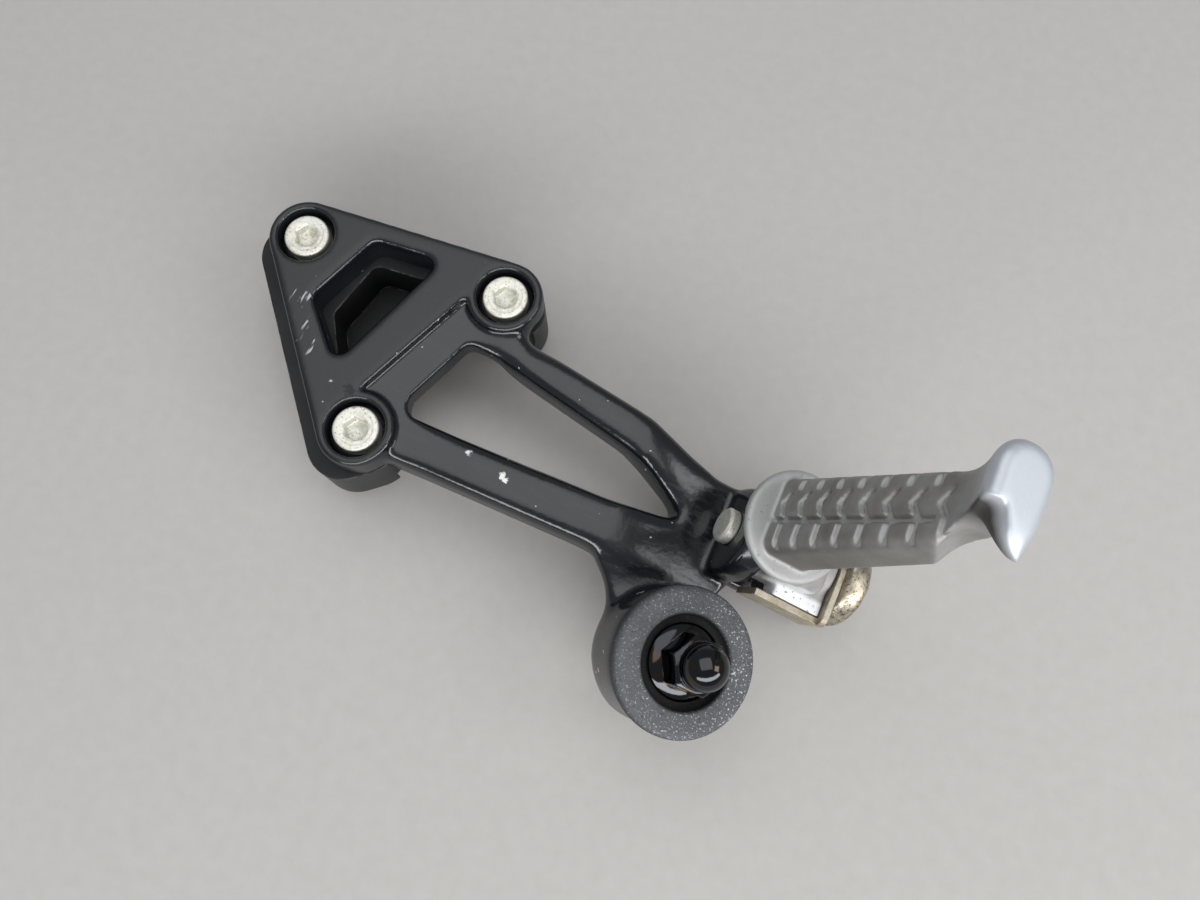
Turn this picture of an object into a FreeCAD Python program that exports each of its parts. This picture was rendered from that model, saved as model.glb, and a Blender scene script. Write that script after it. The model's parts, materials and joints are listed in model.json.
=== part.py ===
import FreeCAD, Part
import math
import os
import Sketcher

# A motorcycle passenger footpeg on its cast bracket, in millimetres.
# Z = 0 is the rear face of the spacer, and the first frame screw stands on the origin.
# The lower end of the bracket leans by lower_tilt about Y. Its own frame starts where the peg's pin crosses
# the inner face of the upper ear: x runs down the pin, y across the bracket, z out along the peg.
SIZES = {
    # Three-screw plate
    "screw_b_x": 61.8,
    "screw_b_y": 5.7,
    "screw_c_x": 40.6,
    "screw_c_y": -46.6,
    "boss_radius": 11.0,
    "plate_depth": 10.0,
    "plate_edge": 1.2,
    "step_drop": 2.5,
    "step_inset": 7.6,
    "counterbore_radius": 8.3,
    "counterbore_depth": 6.0,
    "window_radius": 3.0,
    "window_edge": 2.0,
    "window_top_y": 3.4,
    "window_left_x": 14.6,
    "window_right_x": 35.6,
    "window_foot_x": 25.0,
    "window_foot_y": -26.2,
    "window_side_y": -15.6,
    "window_top_shift": 7.0,
    "window_top_rise": 1.4,
    # Rear spacer
    "spacer_depth": 16.5,
    "spacer_floor": 3.0,
    "spacer_overhang": 5.3,
    "spacer_ledge": 3.5,
    "spacer_post_radius": 9.5,
    "spacer_inset": 4.6,
    "seat_clearance": 0.3,
    # Frame screws
    "screw_radius": 4.0,
    "screw_shank_radius": 3.4,
    "screw_head_radius": 6.5,
    "screw_head_height": 5.0,
    "screw_edge": 0.6,
    "screw_reach": 8.0,
    "screw_thread_radius": 3.9,
    "screw_point": 0.8,
    "screw_hole_clearance": 0.4,
    "thread_clearance": 0.05,
    "hex_flats": 6.0,
    "hex_depth": 3.2,
    # Arms
    "arm_depth": 13.5,
    "arm_edge": 2.6,
    "arm_foot_edge": 1.6,
    "upper_root_x": 68.0,
    "upper_root_y": -6.8,
    "upper_root_radius": 5.2,
    "upper_end_y": -16.0,
    "upper_end_radius": 6.3,
    "lower_root_x": 47.0,
    "lower_root_y": -43.7,
    "lower_root_radius": 6.9,
    "lower_end_y": -43.1,
    "lower_end_radius": 7.6,
    "long_window_x": 59.5,
    "long_window_y": -13.4,
    "long_window_corner": 2.5,
    "long_window_foot_x": 54.8,
    "long_window_foot_y": -32.5,
    "long_window_foot_corner": 5.0,
    "long_window_end_y": -29.0,
    "long_window_end_radius": 6.5,
    "bend_x": 117.1,
    "bend_lap": 1.0,
    "bend_margin": 0.3,
    # Lower end of the bracket
    "lower_x": 154.8,
    "lower_y": -29.7,
    "lower_z": 17.3,
    "lower_tilt": 20.0,
    "lower_bottom": -15.5,
    "ear_radius": 13.0,
    "lower_ear_radius": 12.5,
    "upper_ear": 9.0,
    "lower_ear": 7.4,
    "clevis_gap": 23.1,
    "web_top": -10.2,
    "ear_corner": 1.0,
    "ear_edge": 1.6,
    "lower_plate_end_x": -4.0,
    "shoulder_x": -15.0,
    "tip_window_x": -22.5,
    "tip_window_y": -2.0,
    "tip_window_radius": 1.4,
    # Exhaust hanger
    "hanger_x": -11.0,
    "hanger_y": -38.9,
    "hanger_radius": 18.5,
    "hanger_bottom": -14.0,
    "hanger_top": 5.8,
    "hanger_bore": 14.0,
    "gusset_top": -8.0,
    "gusset_radius": 17.5,
    "gusset_lap": 1.0,
    "damper_radius": 19.5,
    "damper_flange": 5.0,
    "damper_edge": 1.8,
    "damper_recess_radius": 12.4,
    "damper_recess": 2.6,
    "damper_draft": 0.4,
    "collar_radius": 8.0,
    "bolt_radius": 4.0,
    "bolt_clearance": 0.3,
    "fit_clearance": 0.05,
    "washer_radius": 13.0,
    "washer_depth": 2.0,
    "bolt_head_flats": 13.0,
    "bolt_head_height": 5.6,
    "nut_flange_radius": 10.0,
    "nut_flange": 2.6,
    "nut_flats": 13.4,
    "nut_hex": 8.6,
    "nut_dome_radius": 5.9,
    "nut_height": 19.6,
    "nut_round": 4.1,
    "nut_roof": 2.4,
    # Pivot pin and its clip
    "pin_radius": 4.0,
    "pin_head_radius": 5.0,
    "pin_head": 3.0,
    "pin_edge": 0.7,
    "pin_washer_radius": 8.0,
    "pin_washer": 1.2,
    "clip_radius": 6.6,
    "clip_depth": 1.0,
    "clip_groove": 3.2,
    "clip_mouth": 5.2,
    "clip_clearance": 0.1,
    "pin_tail": 2.0,
    "run_clearance": 0.05,
    # Detent
    "detent_plate": 1.8,
    "side_clearance": 0.35,
    "detent_wing_radius": 10.0,
    "detent_wing_top": 9.5,
    "detent_wing_bottom": -6.0,
    "detent_stop_y": -12.9,
    "detent_stop_start": 1.2,
    "detent_bend": 2.4,
    "detent_circle": 6.6,
    "detent_angle": -130.0,
    "fold_angle": 80.0,
    "ball_radius": 2.5,
    "ball_clearance": 0.1,
    "ball_gap": 0.05,
    "dimple_radius": 3.0,
    "dimple_depth": 0.7,
    "spring_wire": 0.45,
    "spring_turns": 4.0,
    "spring_length": 7.0,
    # Peg
    "hub_radius": 9.5,
    "lug_start": 6.0,
    "lug_bottom": 0.4,
    "lug_top": 7.5,
    "neck_half": 9.4,
    "neck_corner": 4.0,
    "neck_end": 16.0,
    "flange_x": 1.5,
    "flange_y": 4.8,
    "flange_radius": 15.0,
    "flange_bottom": 13.6,
    "flange_depth": 2.6,
    "flange_edge": 1.1,
    "bar_left": -6.5,
    "bar_right": 9.0,
    "bar_low": -5.5,
    "bar_high": 16.0,
    "bar_corner": 3.5,
    "bar_end": 80.0,
    "bar_end_left": -6.0,
    "bar_end_right": 4.5,
    "bar_end_low": -4.5,
    "bar_end_high": 12.0,
    "bar_end_corner": 2.5,
    # Tread cut into the bar
    "tread_count": 8.0,
    "tread_start": 18.4,
    "tread_pitch": 8.8,
    "tread_gap": 2.2,
    "tread_depth": 1.8,
    "tread_arm": 3.2,
    "tread_stagger": 6.4,
    "tread_line_width": 1.7,
    "tread_line_y": 3.2,
    "tread_line_end_y": 1.0,
    "tread_crest_y": 8.2,
    "tread_crest_end_y": 4.5,
    "tread_edge_y": 11.0,
    "tread_edge_end_y": 7.6,
    # Upturned tip
    "tip_waist_run": 7.0,
    "tip_waist_left": -6.8,
    "tip_waist_right": 3.2,
    "tip_waist_corner": 3.5,
    "tip_flare_run": 8.0,
    "tip_flare_left": -10.2,
    "tip_flare_right": 0.8,
    "tip_flare_low": -6.4,
    "tip_flare_high": 13.0,
    "tip_flare_corner": 4.8,
    "tip_lip_run": 8.0,
    "tip_left": -15.0,
    "tip_right": -1.3,
    "tip_low": -9.0,
    "tip_high": 14.0,
    "tip_corner": 6.4,
    "tip_edge": 2.0,
    "scoop_lean": -39.8,
    "scoop_radius": 8.5,
    "scoop_x": 5.3,
    "scoop_y": -7.5,
    "scoop_reach": 38.5,
}

doc = FreeCAD.newDocument("passenger_footpeg")
sheet = doc.addObject("Spreadsheet::Sheet", "dims")
for row, (alias, number) in enumerate(SIZES.items(), start=1):
    sheet.set(f"A{row}", alias)
    sheet.set(f"B{row}", str(number))
    sheet.setAlias(f"B{row}", alias)
doc.recompute()

# Levels and places that several pieces share
PLATE_TOP = "(dims.spacer_depth + dims.plate_depth)"
ARM_TOP = f"({PLATE_TOP} - dims.step_drop)"
HEAD_SEAT = f"({PLATE_TOP} - dims.counterbore_depth)"
BEND_RUN = "(dims.bend_x - dims.lower_x)"
BEND_RISE = f"({ARM_TOP} - dims.lower_z)"
BEND_LOCAL = f"({BEND_RUN}*cos(dims.lower_tilt) - {BEND_RISE}*sin(dims.lower_tilt))"
SLOPE_TOP = f"({BEND_RUN}*sin(dims.lower_tilt) + {BEND_RISE}*cos(dims.lower_tilt))"
PLATE_WING = "(dims.clevis_gap - dims.detent_plate)"
HUB_END = f"({PLATE_WING} - dims.side_clearance)"
CLEVIS_END = "(dims.clevis_gap + dims.lower_ear)"
DAMPER_TOP = "(dims.hanger_top + dims.damper_flange)"
NUT_SEAT = f"({DAMPER_TOP} - dims.damper_recess)"
FLANGE_TOP = "(dims.flange_bottom + dims.flange_depth)"
SHOULDER_Y = "(dims.upper_end_y + dims.upper_end_radius + dims.bend_margin - dims.lower_y)"
SLOPE_SIDE = "(dims.lower_end_y - dims.lower_end_radius - dims.bend_margin - dims.lower_y)"
FOOT_RISE = f"({ARM_TOP} - dims.arm_depth - dims.bend_margin - dims.lower_z)"
LAP_START = f"({BEND_LOCAL} - dims.bend_lap)"
ARM_END = "(dims.bend_x - dims.bend_margin)"
FOOT_X = f"({BEND_RUN}*cos(dims.lower_tilt) - {FOOT_RISE}*sin(dims.lower_tilt))"
FOOT_Z = f"({BEND_RUN}*sin(dims.lower_tilt) + {FOOT_RISE}*cos(dims.lower_tilt))"
TIP_WAIST = "(dims.bar_end + dims.tip_waist_run)"
TIP_FLARE = f"({TIP_WAIST} + dims.tip_flare_run)"
TIP_END = f"({TIP_FLARE} + dims.tip_lip_run)"
CLIP_SEAT = f"({CLEVIS_END} + dims.pin_washer + dims.clip_clearance)"
SCREWS = {
    "a": ("0", "0"),
    "b": ("dims.screw_b_x", "dims.screw_b_y"),
    "c": ("dims.screw_c_x", "dims.screw_c_y"),
}


def number(expression):
    """The value of an expression of the sheet's sizes."""
    return float(sheet.evalExpression(str(expression)))


def new_body(name):
    return doc.addObject("PartDesign::Body", name)


def new_sketch(body, name, role="XY_Plane", offset="0"):
    """An empty sketch on one of the body's origin planes, moved along that plane's normal."""
    plane = next(item for item in body.Origin.OriginFeatures if item.Role == role)
    sketch = body.newObject("Sketcher::SketchObject", name)
    sketch.AttachmentSupport = [(plane, "")]
    sketch.MapMode = "FlatFace"
    sketch.setExpression("AttachmentOffset.Base.z", str(offset))
    return sketch


def hold(sketch, kind, *items, size):
    """A dimension of a sketch, bound to an expression."""
    index = sketch.addConstraint(Sketcher.Constraint(kind, *items, number(size)))
    sketch.setExpression(f"Constraints[{index}]", str(size))


def hold_point(sketch, geometry, point, x, y):
    hold(sketch, "DistanceX", -1, 1, geometry, point, size=x)
    hold(sketch, "DistanceY", -1, 1, geometry, point, size=y)


def draw_circle(sketch, x, y, radius):
    centre = FreeCAD.Vector(number(x), number(y), 0)
    circle = sketch.addGeometry(Part.Circle(centre, FreeCAD.Vector(0, 0, 1), number(radius)), False)
    hold_point(sketch, circle, 3, x, y)
    hold(sketch, "Radius", circle, size=radius)


def draw_polygon(sketch, corners):
    """Straight sides through corners, each held at its own place."""
    points = [FreeCAD.Vector(number(x), number(y), 0) for x, y in corners]
    sides = []
    for start, end in zip(points, points[1:] + points[:1]):
        sides.append(sketch.addGeometry(Part.LineSegment(start, end), False))
    for side, following, (x, y) in zip(sides, sides[1:] + sides[:1], corners):
        sketch.addConstraint(Sketcher.Constraint("Coincident", side, 2, following, 1))
        hold_point(sketch, side, 1, x, y)


def draw_hull(sketch, circles):
    """A band stretched round circles, which are given counter-clockwise: arcs joined by tangent lines."""
    middles = [FreeCAD.Vector(number(x), number(y), 0) for x, y, _ in circles]
    radii = [number(radius) for _, _, radius in circles]
    count = len(circles)
    normals = []
    for i in range(count):
        step = middles[(i + 1) % count] - middles[i]
        lean = (radii[i] - radii[(i + 1) % count]) / step.Length
        along = FreeCAD.Vector(step).normalize()
        across = FreeCAD.Vector(along.y, -along.x, 0)
        normals.append(along * lean + across * math.sqrt(1 - lean * lean))
    arcs = []
    lines = []
    for i in range(count):
        first = math.atan2(normals[i - 1].y, normals[i - 1].x)
        last = math.atan2(normals[i].y, normals[i].x)
        circle = Part.Circle(middles[i], FreeCAD.Vector(0, 0, 1), radii[i])
        arcs.append(sketch.addGeometry(Part.ArcOfCircle(circle, first, last), False))
        start = middles[i] + normals[i] * radii[i]
        end = middles[(i + 1) % count] + normals[i] * radii[(i + 1) % count]
        lines.append(sketch.addGeometry(Part.LineSegment(start, end), False))
    for i, (x, y, radius) in enumerate(circles):
        sketch.addConstraint(Sketcher.Constraint("Tangent", arcs[i], 2, lines[i], 1))
        sketch.addConstraint(Sketcher.Constraint("Tangent", lines[i], 2, arcs[(i + 1) % count], 1))
        hold_point(sketch, arcs[i], 3, x, y)
        hold(sketch, "Radius", arcs[i], size=radius)


def draw_box(sketch, left, right, low, high, corner):
    """An upright rectangle with round corners."""
    near, far = f"{left} + {corner}", f"{right} - {corner}"
    bottom, top = f"{low} + {corner}", f"{high} - {corner}"
    draw_hull(sketch, [(x, y, corner) for x, y in ((near, bottom), (far, bottom), (far, top), (near, top))])


def pad(body, sketch, length):
    """Material from the sketch's plane along its normal."""
    feature = body.newObject("PartDesign::Pad", sketch.Name + "_pad")
    feature.Profile = sketch
    feature.setExpression("Length", str(length))
    doc.recompute()
    return feature


def pocket(body, sketch, length):
    """A cut from the sketch's plane against its normal."""
    before = body.Shape.Volume
    feature = body.newObject("PartDesign::Pocket", sketch.Name + "_pocket")
    feature.Profile = sketch
    feature.setExpression("Length", str(length))
    doc.recompute()
    if body.Shape.Volume >= before:
        raise RuntimeError(f"{sketch.Name} cuts nothing")
    return feature


def revolve(body, sketch, axis):
    """A turned piece: the sketch's profile round one of its own axes."""
    feature = body.newObject("PartDesign::Revolution", sketch.Name + "_turned")
    feature.Profile = sketch
    feature.ReferenceAxis = (sketch, [axis])
    feature.Angle = 360
    doc.recompute()
    return feature


def loft(body, sketches):
    feature = body.newObject("PartDesign::AdditiveLoft", sketches[0].Name + "_loft")
    feature.Profile = sketches[0]
    feature.Sections = sketches[1:]
    doc.recompute()
    return feature


def round_edges(body, radius, wanted):
    """A fillet along those edges of the body for which wanted(edge) is true."""
    base = body.Tip
    names = [f"Edge{i}" for i, edge in enumerate(base.Shape.Edges, start=1) if wanted(edge)]
    feature = body.newObject("PartDesign::Fillet", f"{body.Name}_round")
    feature.Base = (base, names)
    feature.setExpression("Radius", str(radius))
    doc.recompute()
    return feature


def level(edge, height):
    """True where the whole edge lies at that height of the body's own frame."""
    box = edge.BoundBox
    return abs(box.ZMin - height) < 1e-4 and abs(box.ZMax - height) < 1e-4


def place(item, x, y, z):
    for axis, expression in zip("xyz", (x, y, z)):
        item.setExpression(f"Placement.Base.{axis}", str(expression))


def lean(item):
    item.Placement = FreeCAD.Placement(FreeCAD.Vector(), FreeCAD.Rotation(FreeCAD.Vector(0, 1, 0), 1))
    item.setExpression("Placement.Rotation.Angle", "dims.lower_tilt")


def place_lower(item):
    """Put a piece in the frame of the bracket's lower end."""
    lean(item)
    place(item, "dims.lower_x", "dims.lower_y", "dims.lower_z")
    return item


def place_hanger(item):
    """Put a piece on the exhaust hanger's axis, in the lower end's frame."""
    lean(item)
    place(
        item,
        "dims.lower_x + dims.hanger_x*cos(dims.lower_tilt)",
        "dims.lower_y + dims.hanger_y",
        "dims.lower_z - dims.hanger_x*sin(dims.lower_tilt)",
    )
    return item


def window_circles(grow="0"):
    """The plate's four-sided window, with its left and top sides moved out by grow."""
    radius = "dims.window_radius"
    return [
        (f"dims.window_left_x - {grow}", "dims.window_side_y", radius),
        ("dims.window_foot_x", "dims.window_foot_y", radius),
        ("dims.window_right_x", f"dims.window_top_y + dims.window_top_rise + {grow}", radius),
        ("dims.window_left_x + dims.window_top_shift", f"dims.window_top_y + {grow}", radius),
    ]


def draw_step(sketch, inset):
    """A strip over the line between screws b and c, from inset on the plate's side to well outside."""
    run = "(dims.screw_b_x - dims.screw_c_x)"
    rise = "(dims.screw_b_y - dims.screw_c_y)"
    span = f"sqrt({run}^2 + {rise}^2)"
    corners = []
    for side, foot in ((1, "c"), (-1, "c"), (-1, "b"), (1, "b")):
        reach = inset if side == 1 else "(2*dims.boss_radius)"
        corners.append((
            f"dims.screw_{foot}_x - {side}*{reach}*{rise}/{span}",
            f"dims.screw_{foot}_y + {side}*{reach}*{run}/{span}",
        ))
    draw_polygon(sketch, corners)


def boss_outline(grow="0"):
    """The band round the three screw bosses, moved out by grow."""
    return [(*SCREWS[name], f"dims.boss_radius + {grow}") for name in ("a", "c", "b")]


def in_window(edge):
    """True where the whole edge lies round the plate's window."""
    reach = number("dims.window_radius + dims.window_edge")
    box = edge.BoundBox
    left = number("dims.window_left_x") - reach
    right = number("dims.window_right_x") + reach
    low = number("dims.window_foot_y") - reach
    return box.XMin > left and box.XMax < right and box.YMin > low


def make_plate():
    """The flat end of the casting: three-screw plate, stepped face, and the foot of the long window."""
    body = new_body("bracket_plate")
    top = number(PLATE_TOP)
    outline = new_sketch(body, "plate_outline", offset="dims.spacer_depth")
    draw_hull(outline, boss_outline())
    pad(body, outline, "dims.plate_depth")

    window = new_sketch(body, "plate_window", offset=PLATE_TOP)
    draw_hull(window, window_circles())
    pocket(body, window, "dims.plate_depth")
    round_edges(body, "dims.window_edge", lambda edge: level(edge, top) and in_window(edge))

    step = new_sketch(body, "step", offset=PLATE_TOP)
    draw_step(step, "dims.step_inset")
    pocket(body, step, "dims.step_drop")
    for name in ("b", "c"):
        boss = new_sketch(body, f"boss_{name}", offset=ARM_TOP)
        draw_circle(boss, *SCREWS[name], "dims.boss_radius")
        pad(body, boss, "dims.step_drop")
    round_edges(body, "dims.plate_edge", lambda edge: level(edge, top) and not in_window(edge))

    long_window = new_sketch(body, "long_window", offset=PLATE_TOP)
    draw_hull(long_window, [
        ("dims.long_window_x", "dims.long_window_y", "dims.long_window_corner"),
        ("dims.long_window_foot_x", "dims.long_window_foot_y", "dims.long_window_foot_corner"),
        ("dims.bend_x", "dims.long_window_end_y", "dims.long_window_end_radius"),
    ])
    pocket(body, long_window, "dims.plate_depth")
    return body


def make_arm(name):
    """One round-edged arm of the casting, from the plate to the bend."""
    body = new_body(f"bracket_{name}_arm")
    foot = f"({ARM_TOP} - dims.arm_depth)"
    outline = new_sketch(body, f"{name}_arm", offset=foot)
    draw_hull(outline, [
        (f"dims.{name}_root_x", f"dims.{name}_root_y", f"dims.{name}_root_radius"),
        ("dims.bend_x", f"dims.{name}_end_y", f"dims.{name}_end_radius"),
    ])
    pad(body, outline, "dims.arm_depth")
    round_edges(body, "dims.arm_edge", lambda edge: level(edge, number(ARM_TOP)))
    round_edges(body, "dims.arm_foot_edge", lambda edge: level(edge, number(foot)))

    beyond = new_sketch(body, f"{name}_beyond_bend", offset=PLATE_TOP)
    width = f"2*dims.{name}_end_radius"
    draw_polygon(beyond, [
        (ARM_END, f"dims.{name}_end_y - {width}"),
        (f"{ARM_END} + {width}", f"dims.{name}_end_y - {width}"),
        (f"{ARM_END} + {width}", f"dims.{name}_end_y + {width}"),
        (ARM_END, f"dims.{name}_end_y + {width}"),
    ])
    pocket(body, beyond, PLATE_TOP)
    seat = new_sketch(body, f"{name}_spacer_seat", offset="dims.spacer_depth")
    draw_hull(seat, boss_outline("dims.seat_clearance"))
    pocket(body, seat, "dims.spacer_depth")
    return body


def draw_ear(sketch, radius):
    """A round-topped ear round the pin, with upright sides down to the bracket's underside."""
    corner = "dims.ear_corner"
    foot = f"dims.lower_bottom + {corner}"
    draw_hull(sketch, [
        ("0", "0", radius),
        (f"{corner} - {radius}", foot, corner),
        (f"{radius} - {corner}", foot, corner),
    ])


def is_slope_side(edge):
    """True for the leaning end's long upper edges."""
    box = edge.BoundBox
    low_side = abs(box.YMax - number(SLOPE_SIDE)) < 1e-4
    high_side = box.YMin > number("dims.ear_radius") - 1e-4
    return level(edge, number(SLOPE_TOP)) and (low_side or high_side)


def is_ear_rim(edge):
    """True for the round rims of the clevis ears."""
    radii = [number("dims.ear_radius"), number("dims.lower_ear_radius")]
    if edge.Curve.TypeId != "Part::GeomCircle" or edge.Length < min(radii):
        return False
    return any(abs(edge.Curve.Radius - radius) < 1e-4 for radius in radii)


def make_lower():
    """The leaning end of the casting: joined arms, clevis for the peg, exhaust hanger."""
    body = new_body("bracket_lower")
    slab = new_sketch(body, "slope", offset=FOOT_Z)
    draw_polygon(slab, [
        (LAP_START, SLOPE_SIDE),
        ("dims.lower_plate_end_x", SLOPE_SIDE),
        ("0", "-dims.ear_radius"),
        ("0", "dims.ear_radius"),
        ("dims.shoulder_x", "dims.ear_radius"),
        (LAP_START, SHOULDER_Y),
    ])
    pad(body, slab, f"{SLOPE_TOP} - {FOOT_Z}")
    round_edges(body, "dims.arm_edge", is_slope_side)
    under = new_sketch(body, "underside", "XZ_Plane", f"-{SHOULDER_Y}")
    draw_polygon(under, [
        (FOOT_X, FOOT_Z),
        ("dims.upper_ear", FOOT_Z),
        ("dims.upper_ear", "dims.lower_bottom"),
        ("-dims.upper_ear", "dims.lower_bottom"),
    ])
    pocket(body, under, f"{SLOPE_SIDE} - {SHOULDER_Y}")

    upper = new_sketch(body, "upper_ear_outline", "YZ_Plane", "-dims.upper_ear")
    draw_ear(upper, "dims.ear_radius")
    pad(body, upper, "dims.upper_ear")
    web = new_sketch(body, "clevis_web", "YZ_Plane", "0")
    half = "dims.lower_ear_radius"
    draw_polygon(web, [
        (f"-{half}", "dims.lower_bottom"),
        (half, "dims.lower_bottom"),
        (half, "dims.web_top"),
        (f"-{half}", "dims.web_top"),
    ])
    pad(body, web, CLEVIS_END)
    lower = new_sketch(body, "lower_ear_outline", "YZ_Plane", "dims.clevis_gap")
    draw_ear(lower, "dims.lower_ear_radius")
    pad(body, lower, "dims.lower_ear")

    gusset = new_sketch(body, "gusset", offset="dims.hanger_bottom")
    draw_polygon(gusset, [
        (BEND_LOCAL, "dims.hanger_y"),
        ("dims.hanger_x", "dims.hanger_y"),
        ("dims.hanger_x", SLOPE_SIDE),
        (BEND_LOCAL, SLOPE_SIDE),
    ])
    pad(body, gusset, "dims.gusset_top - dims.hanger_bottom")
    hollow = new_sketch(body, "gusset_hollow", offset="dims.hanger_top")
    draw_circle(
        hollow,
        "dims.hanger_x - dims.hanger_radius - dims.gusset_radius + dims.gusset_lap",
        f"{SLOPE_SIDE} - dims.gusset_radius",
        "dims.gusset_radius",
    )
    pocket(body, hollow, "dims.hanger_top - dims.hanger_bottom")
    boss = new_sketch(body, "hanger_boss", offset="dims.hanger_bottom")
    draw_circle(boss, "dims.hanger_x", "dims.hanger_y", "dims.hanger_radius")
    pad(body, boss, "dims.hanger_top - dims.hanger_bottom")
    bore = new_sketch(body, "hanger_bore_cut", offset="dims.hanger_top")
    draw_circle(bore, "dims.hanger_x", "dims.hanger_y", "dims.hanger_bore")
    pocket(body, bore, "dims.hanger_top - dims.lower_bottom")

    tip_window = new_sketch(body, "tip_window", offset=SLOPE_TOP)
    middle = "(dims.long_window_end_y - dims.lower_y)"
    draw_hull(tip_window, [
        (BEND_LOCAL, middle, "dims.long_window_end_radius - dims.bend_margin"),
        ("dims.tip_window_x", "dims.tip_window_y", "dims.tip_window_radius"),
    ])
    pocket(body, tip_window, f"{SLOPE_TOP} - {FOOT_Z}")

    round_edges(body, "dims.ear_edge", is_ear_rim)
    pin_hole = new_sketch(body, "pin_hole", "YZ_Plane", CLEVIS_END)
    draw_circle(pin_hole, "0", "0", "dims.pin_radius + dims.run_clearance")
    pocket(body, pin_hole, f"{CLEVIS_END} + dims.upper_ear")
    return place_lower(body)


def make_bracket():
    """The whole casting, with the screws' holes drilled last."""
    casting = doc.addObject("Part::MultiFuse", "casting")
    casting.Shapes = [make_plate(), make_arm("upper"), make_arm("lower"), make_lower()]
    casting.Refine = True
    doc.recompute()
    body = new_body("bracket")
    body.BaseFeature = casting
    doc.recompute()
    for name, (x, y) in SCREWS.items():
        recess = new_sketch(body, f"counterbore_{name}", offset=PLATE_TOP)
        draw_circle(recess, x, y, "dims.counterbore_radius")
        pocket(body, recess, "dims.counterbore_depth")
        hole = new_sketch(body, f"screw_hole_{name}", offset=PLATE_TOP)
        draw_circle(hole, x, y, "dims.screw_radius + dims.screw_hole_clearance")
        pocket(body, hole, "dims.plate_depth")
    return body


def make_spacer():
    """The block behind the plate: open hollow behind the plate's window, three tapped holes."""
    body = new_body("rear_spacer")
    run = "dims.screw_c_x"
    rise = "dims.screw_c_y"
    span = f"sqrt({run}^2 + {rise}^2)"
    out_x = f"(dims.spacer_overhang*{rise}/{span})"
    out_y = f"(-dims.spacer_overhang*{run}/{span})"
    radius = "dims.boss_radius"
    outline = new_sketch(body, "spacer_outline")
    draw_hull(outline, [
        (out_x, out_y, radius),
        (f"{run} + {out_x}", f"{rise} + {out_y}", radius),
        (run, rise, radius),
        ("dims.screw_b_x", "dims.screw_b_y", radius),
        ("0", "0", radius),
    ])
    pad(body, outline, "dims.spacer_depth")
    inset = new_sketch(body, "spacer_side", offset="dims.spacer_depth")
    draw_step(inset, "dims.spacer_inset")
    pocket(body, inset, "dims.spacer_depth")
    for name in ("b", "c"):
        post = new_sketch(body, f"post_{name}")
        draw_circle(post, *SCREWS[name], "dims.spacer_post_radius")
        pad(body, post, "dims.spacer_depth")
    hollow = new_sketch(body, "spacer_hollow", offset="dims.spacer_depth")
    draw_hull(hollow, window_circles("-dims.spacer_ledge"))
    pocket(body, hollow, "dims.spacer_depth - dims.spacer_floor")
    for name, (x, y) in SCREWS.items():
        hole = new_sketch(body, f"tapped_hole_{name}", offset="dims.spacer_depth")
        draw_circle(hole, x, y, "dims.screw_radius + dims.thread_clearance")
        pocket(body, hole, "dims.spacer_depth")
    return body


def draw_hexagon(sketch, flats):
    corner = f"({flats}/sqrt(3))"
    turns = [(1, 0), (1, 1), (-1, 1), (-1, 0), (-1, -1), (1, -1)]
    points = []
    for across, up in turns:
        share = 1 if up == 0 else 0.5
        points.append((f"{across * share}*{corner}", f"{up}*{flats}/2"))
    draw_polygon(sketch, points)


def make_screws():
    """Three socket screws, one solid each."""
    screws = []
    for name, (x, y) in SCREWS.items():
        body = new_body(f"frame_screw_{name}")
        profile = new_sketch(body, f"screw_profile_{name}", "XZ_Plane")
        end = f"-{HEAD_SEAT} - dims.screw_reach"
        draw_polygon(profile, [
            ("0", f"{end} - dims.screw_point"),
            ("dims.screw_thread_radius - dims.screw_point", f"{end} - dims.screw_point"),
            ("dims.screw_thread_radius", end),
            ("dims.screw_thread_radius", f"-{HEAD_SEAT}"),
            ("dims.screw_shank_radius", f"-{HEAD_SEAT}"),
            ("dims.screw_shank_radius", "0"),
            ("dims.screw_head_radius", "0"),
            ("dims.screw_head_radius", "dims.screw_head_height - dims.screw_edge"),
            ("dims.screw_head_radius - dims.screw_edge", "dims.screw_head_height"),
            ("0", "dims.screw_head_height"),
        ])
        revolve(body, profile, "V_Axis")
        key = new_sketch(body, f"key_{name}", offset="dims.screw_head_height")
        draw_hexagon(key, "dims.hex_flats")
        pocket(body, key, "dims.hex_depth")
        place(body, x, y, HEAD_SEAT)
        screws.append(body)
    group = doc.addObject("Part::Compound", "mounting_screws")
    group.Links = screws
    return group


def ring(name, outer, inner, depth, offset, role="YZ_Plane"):
    """A plain washer or tube from offset along the plane's normal."""
    body = new_body(name)
    outline = new_sketch(body, f"{name}_outline", role, offset)
    draw_circle(outline, "0", "0", outer)
    draw_circle(outline, "0", "0", inner)
    pad(body, outline, depth)
    return body


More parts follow.
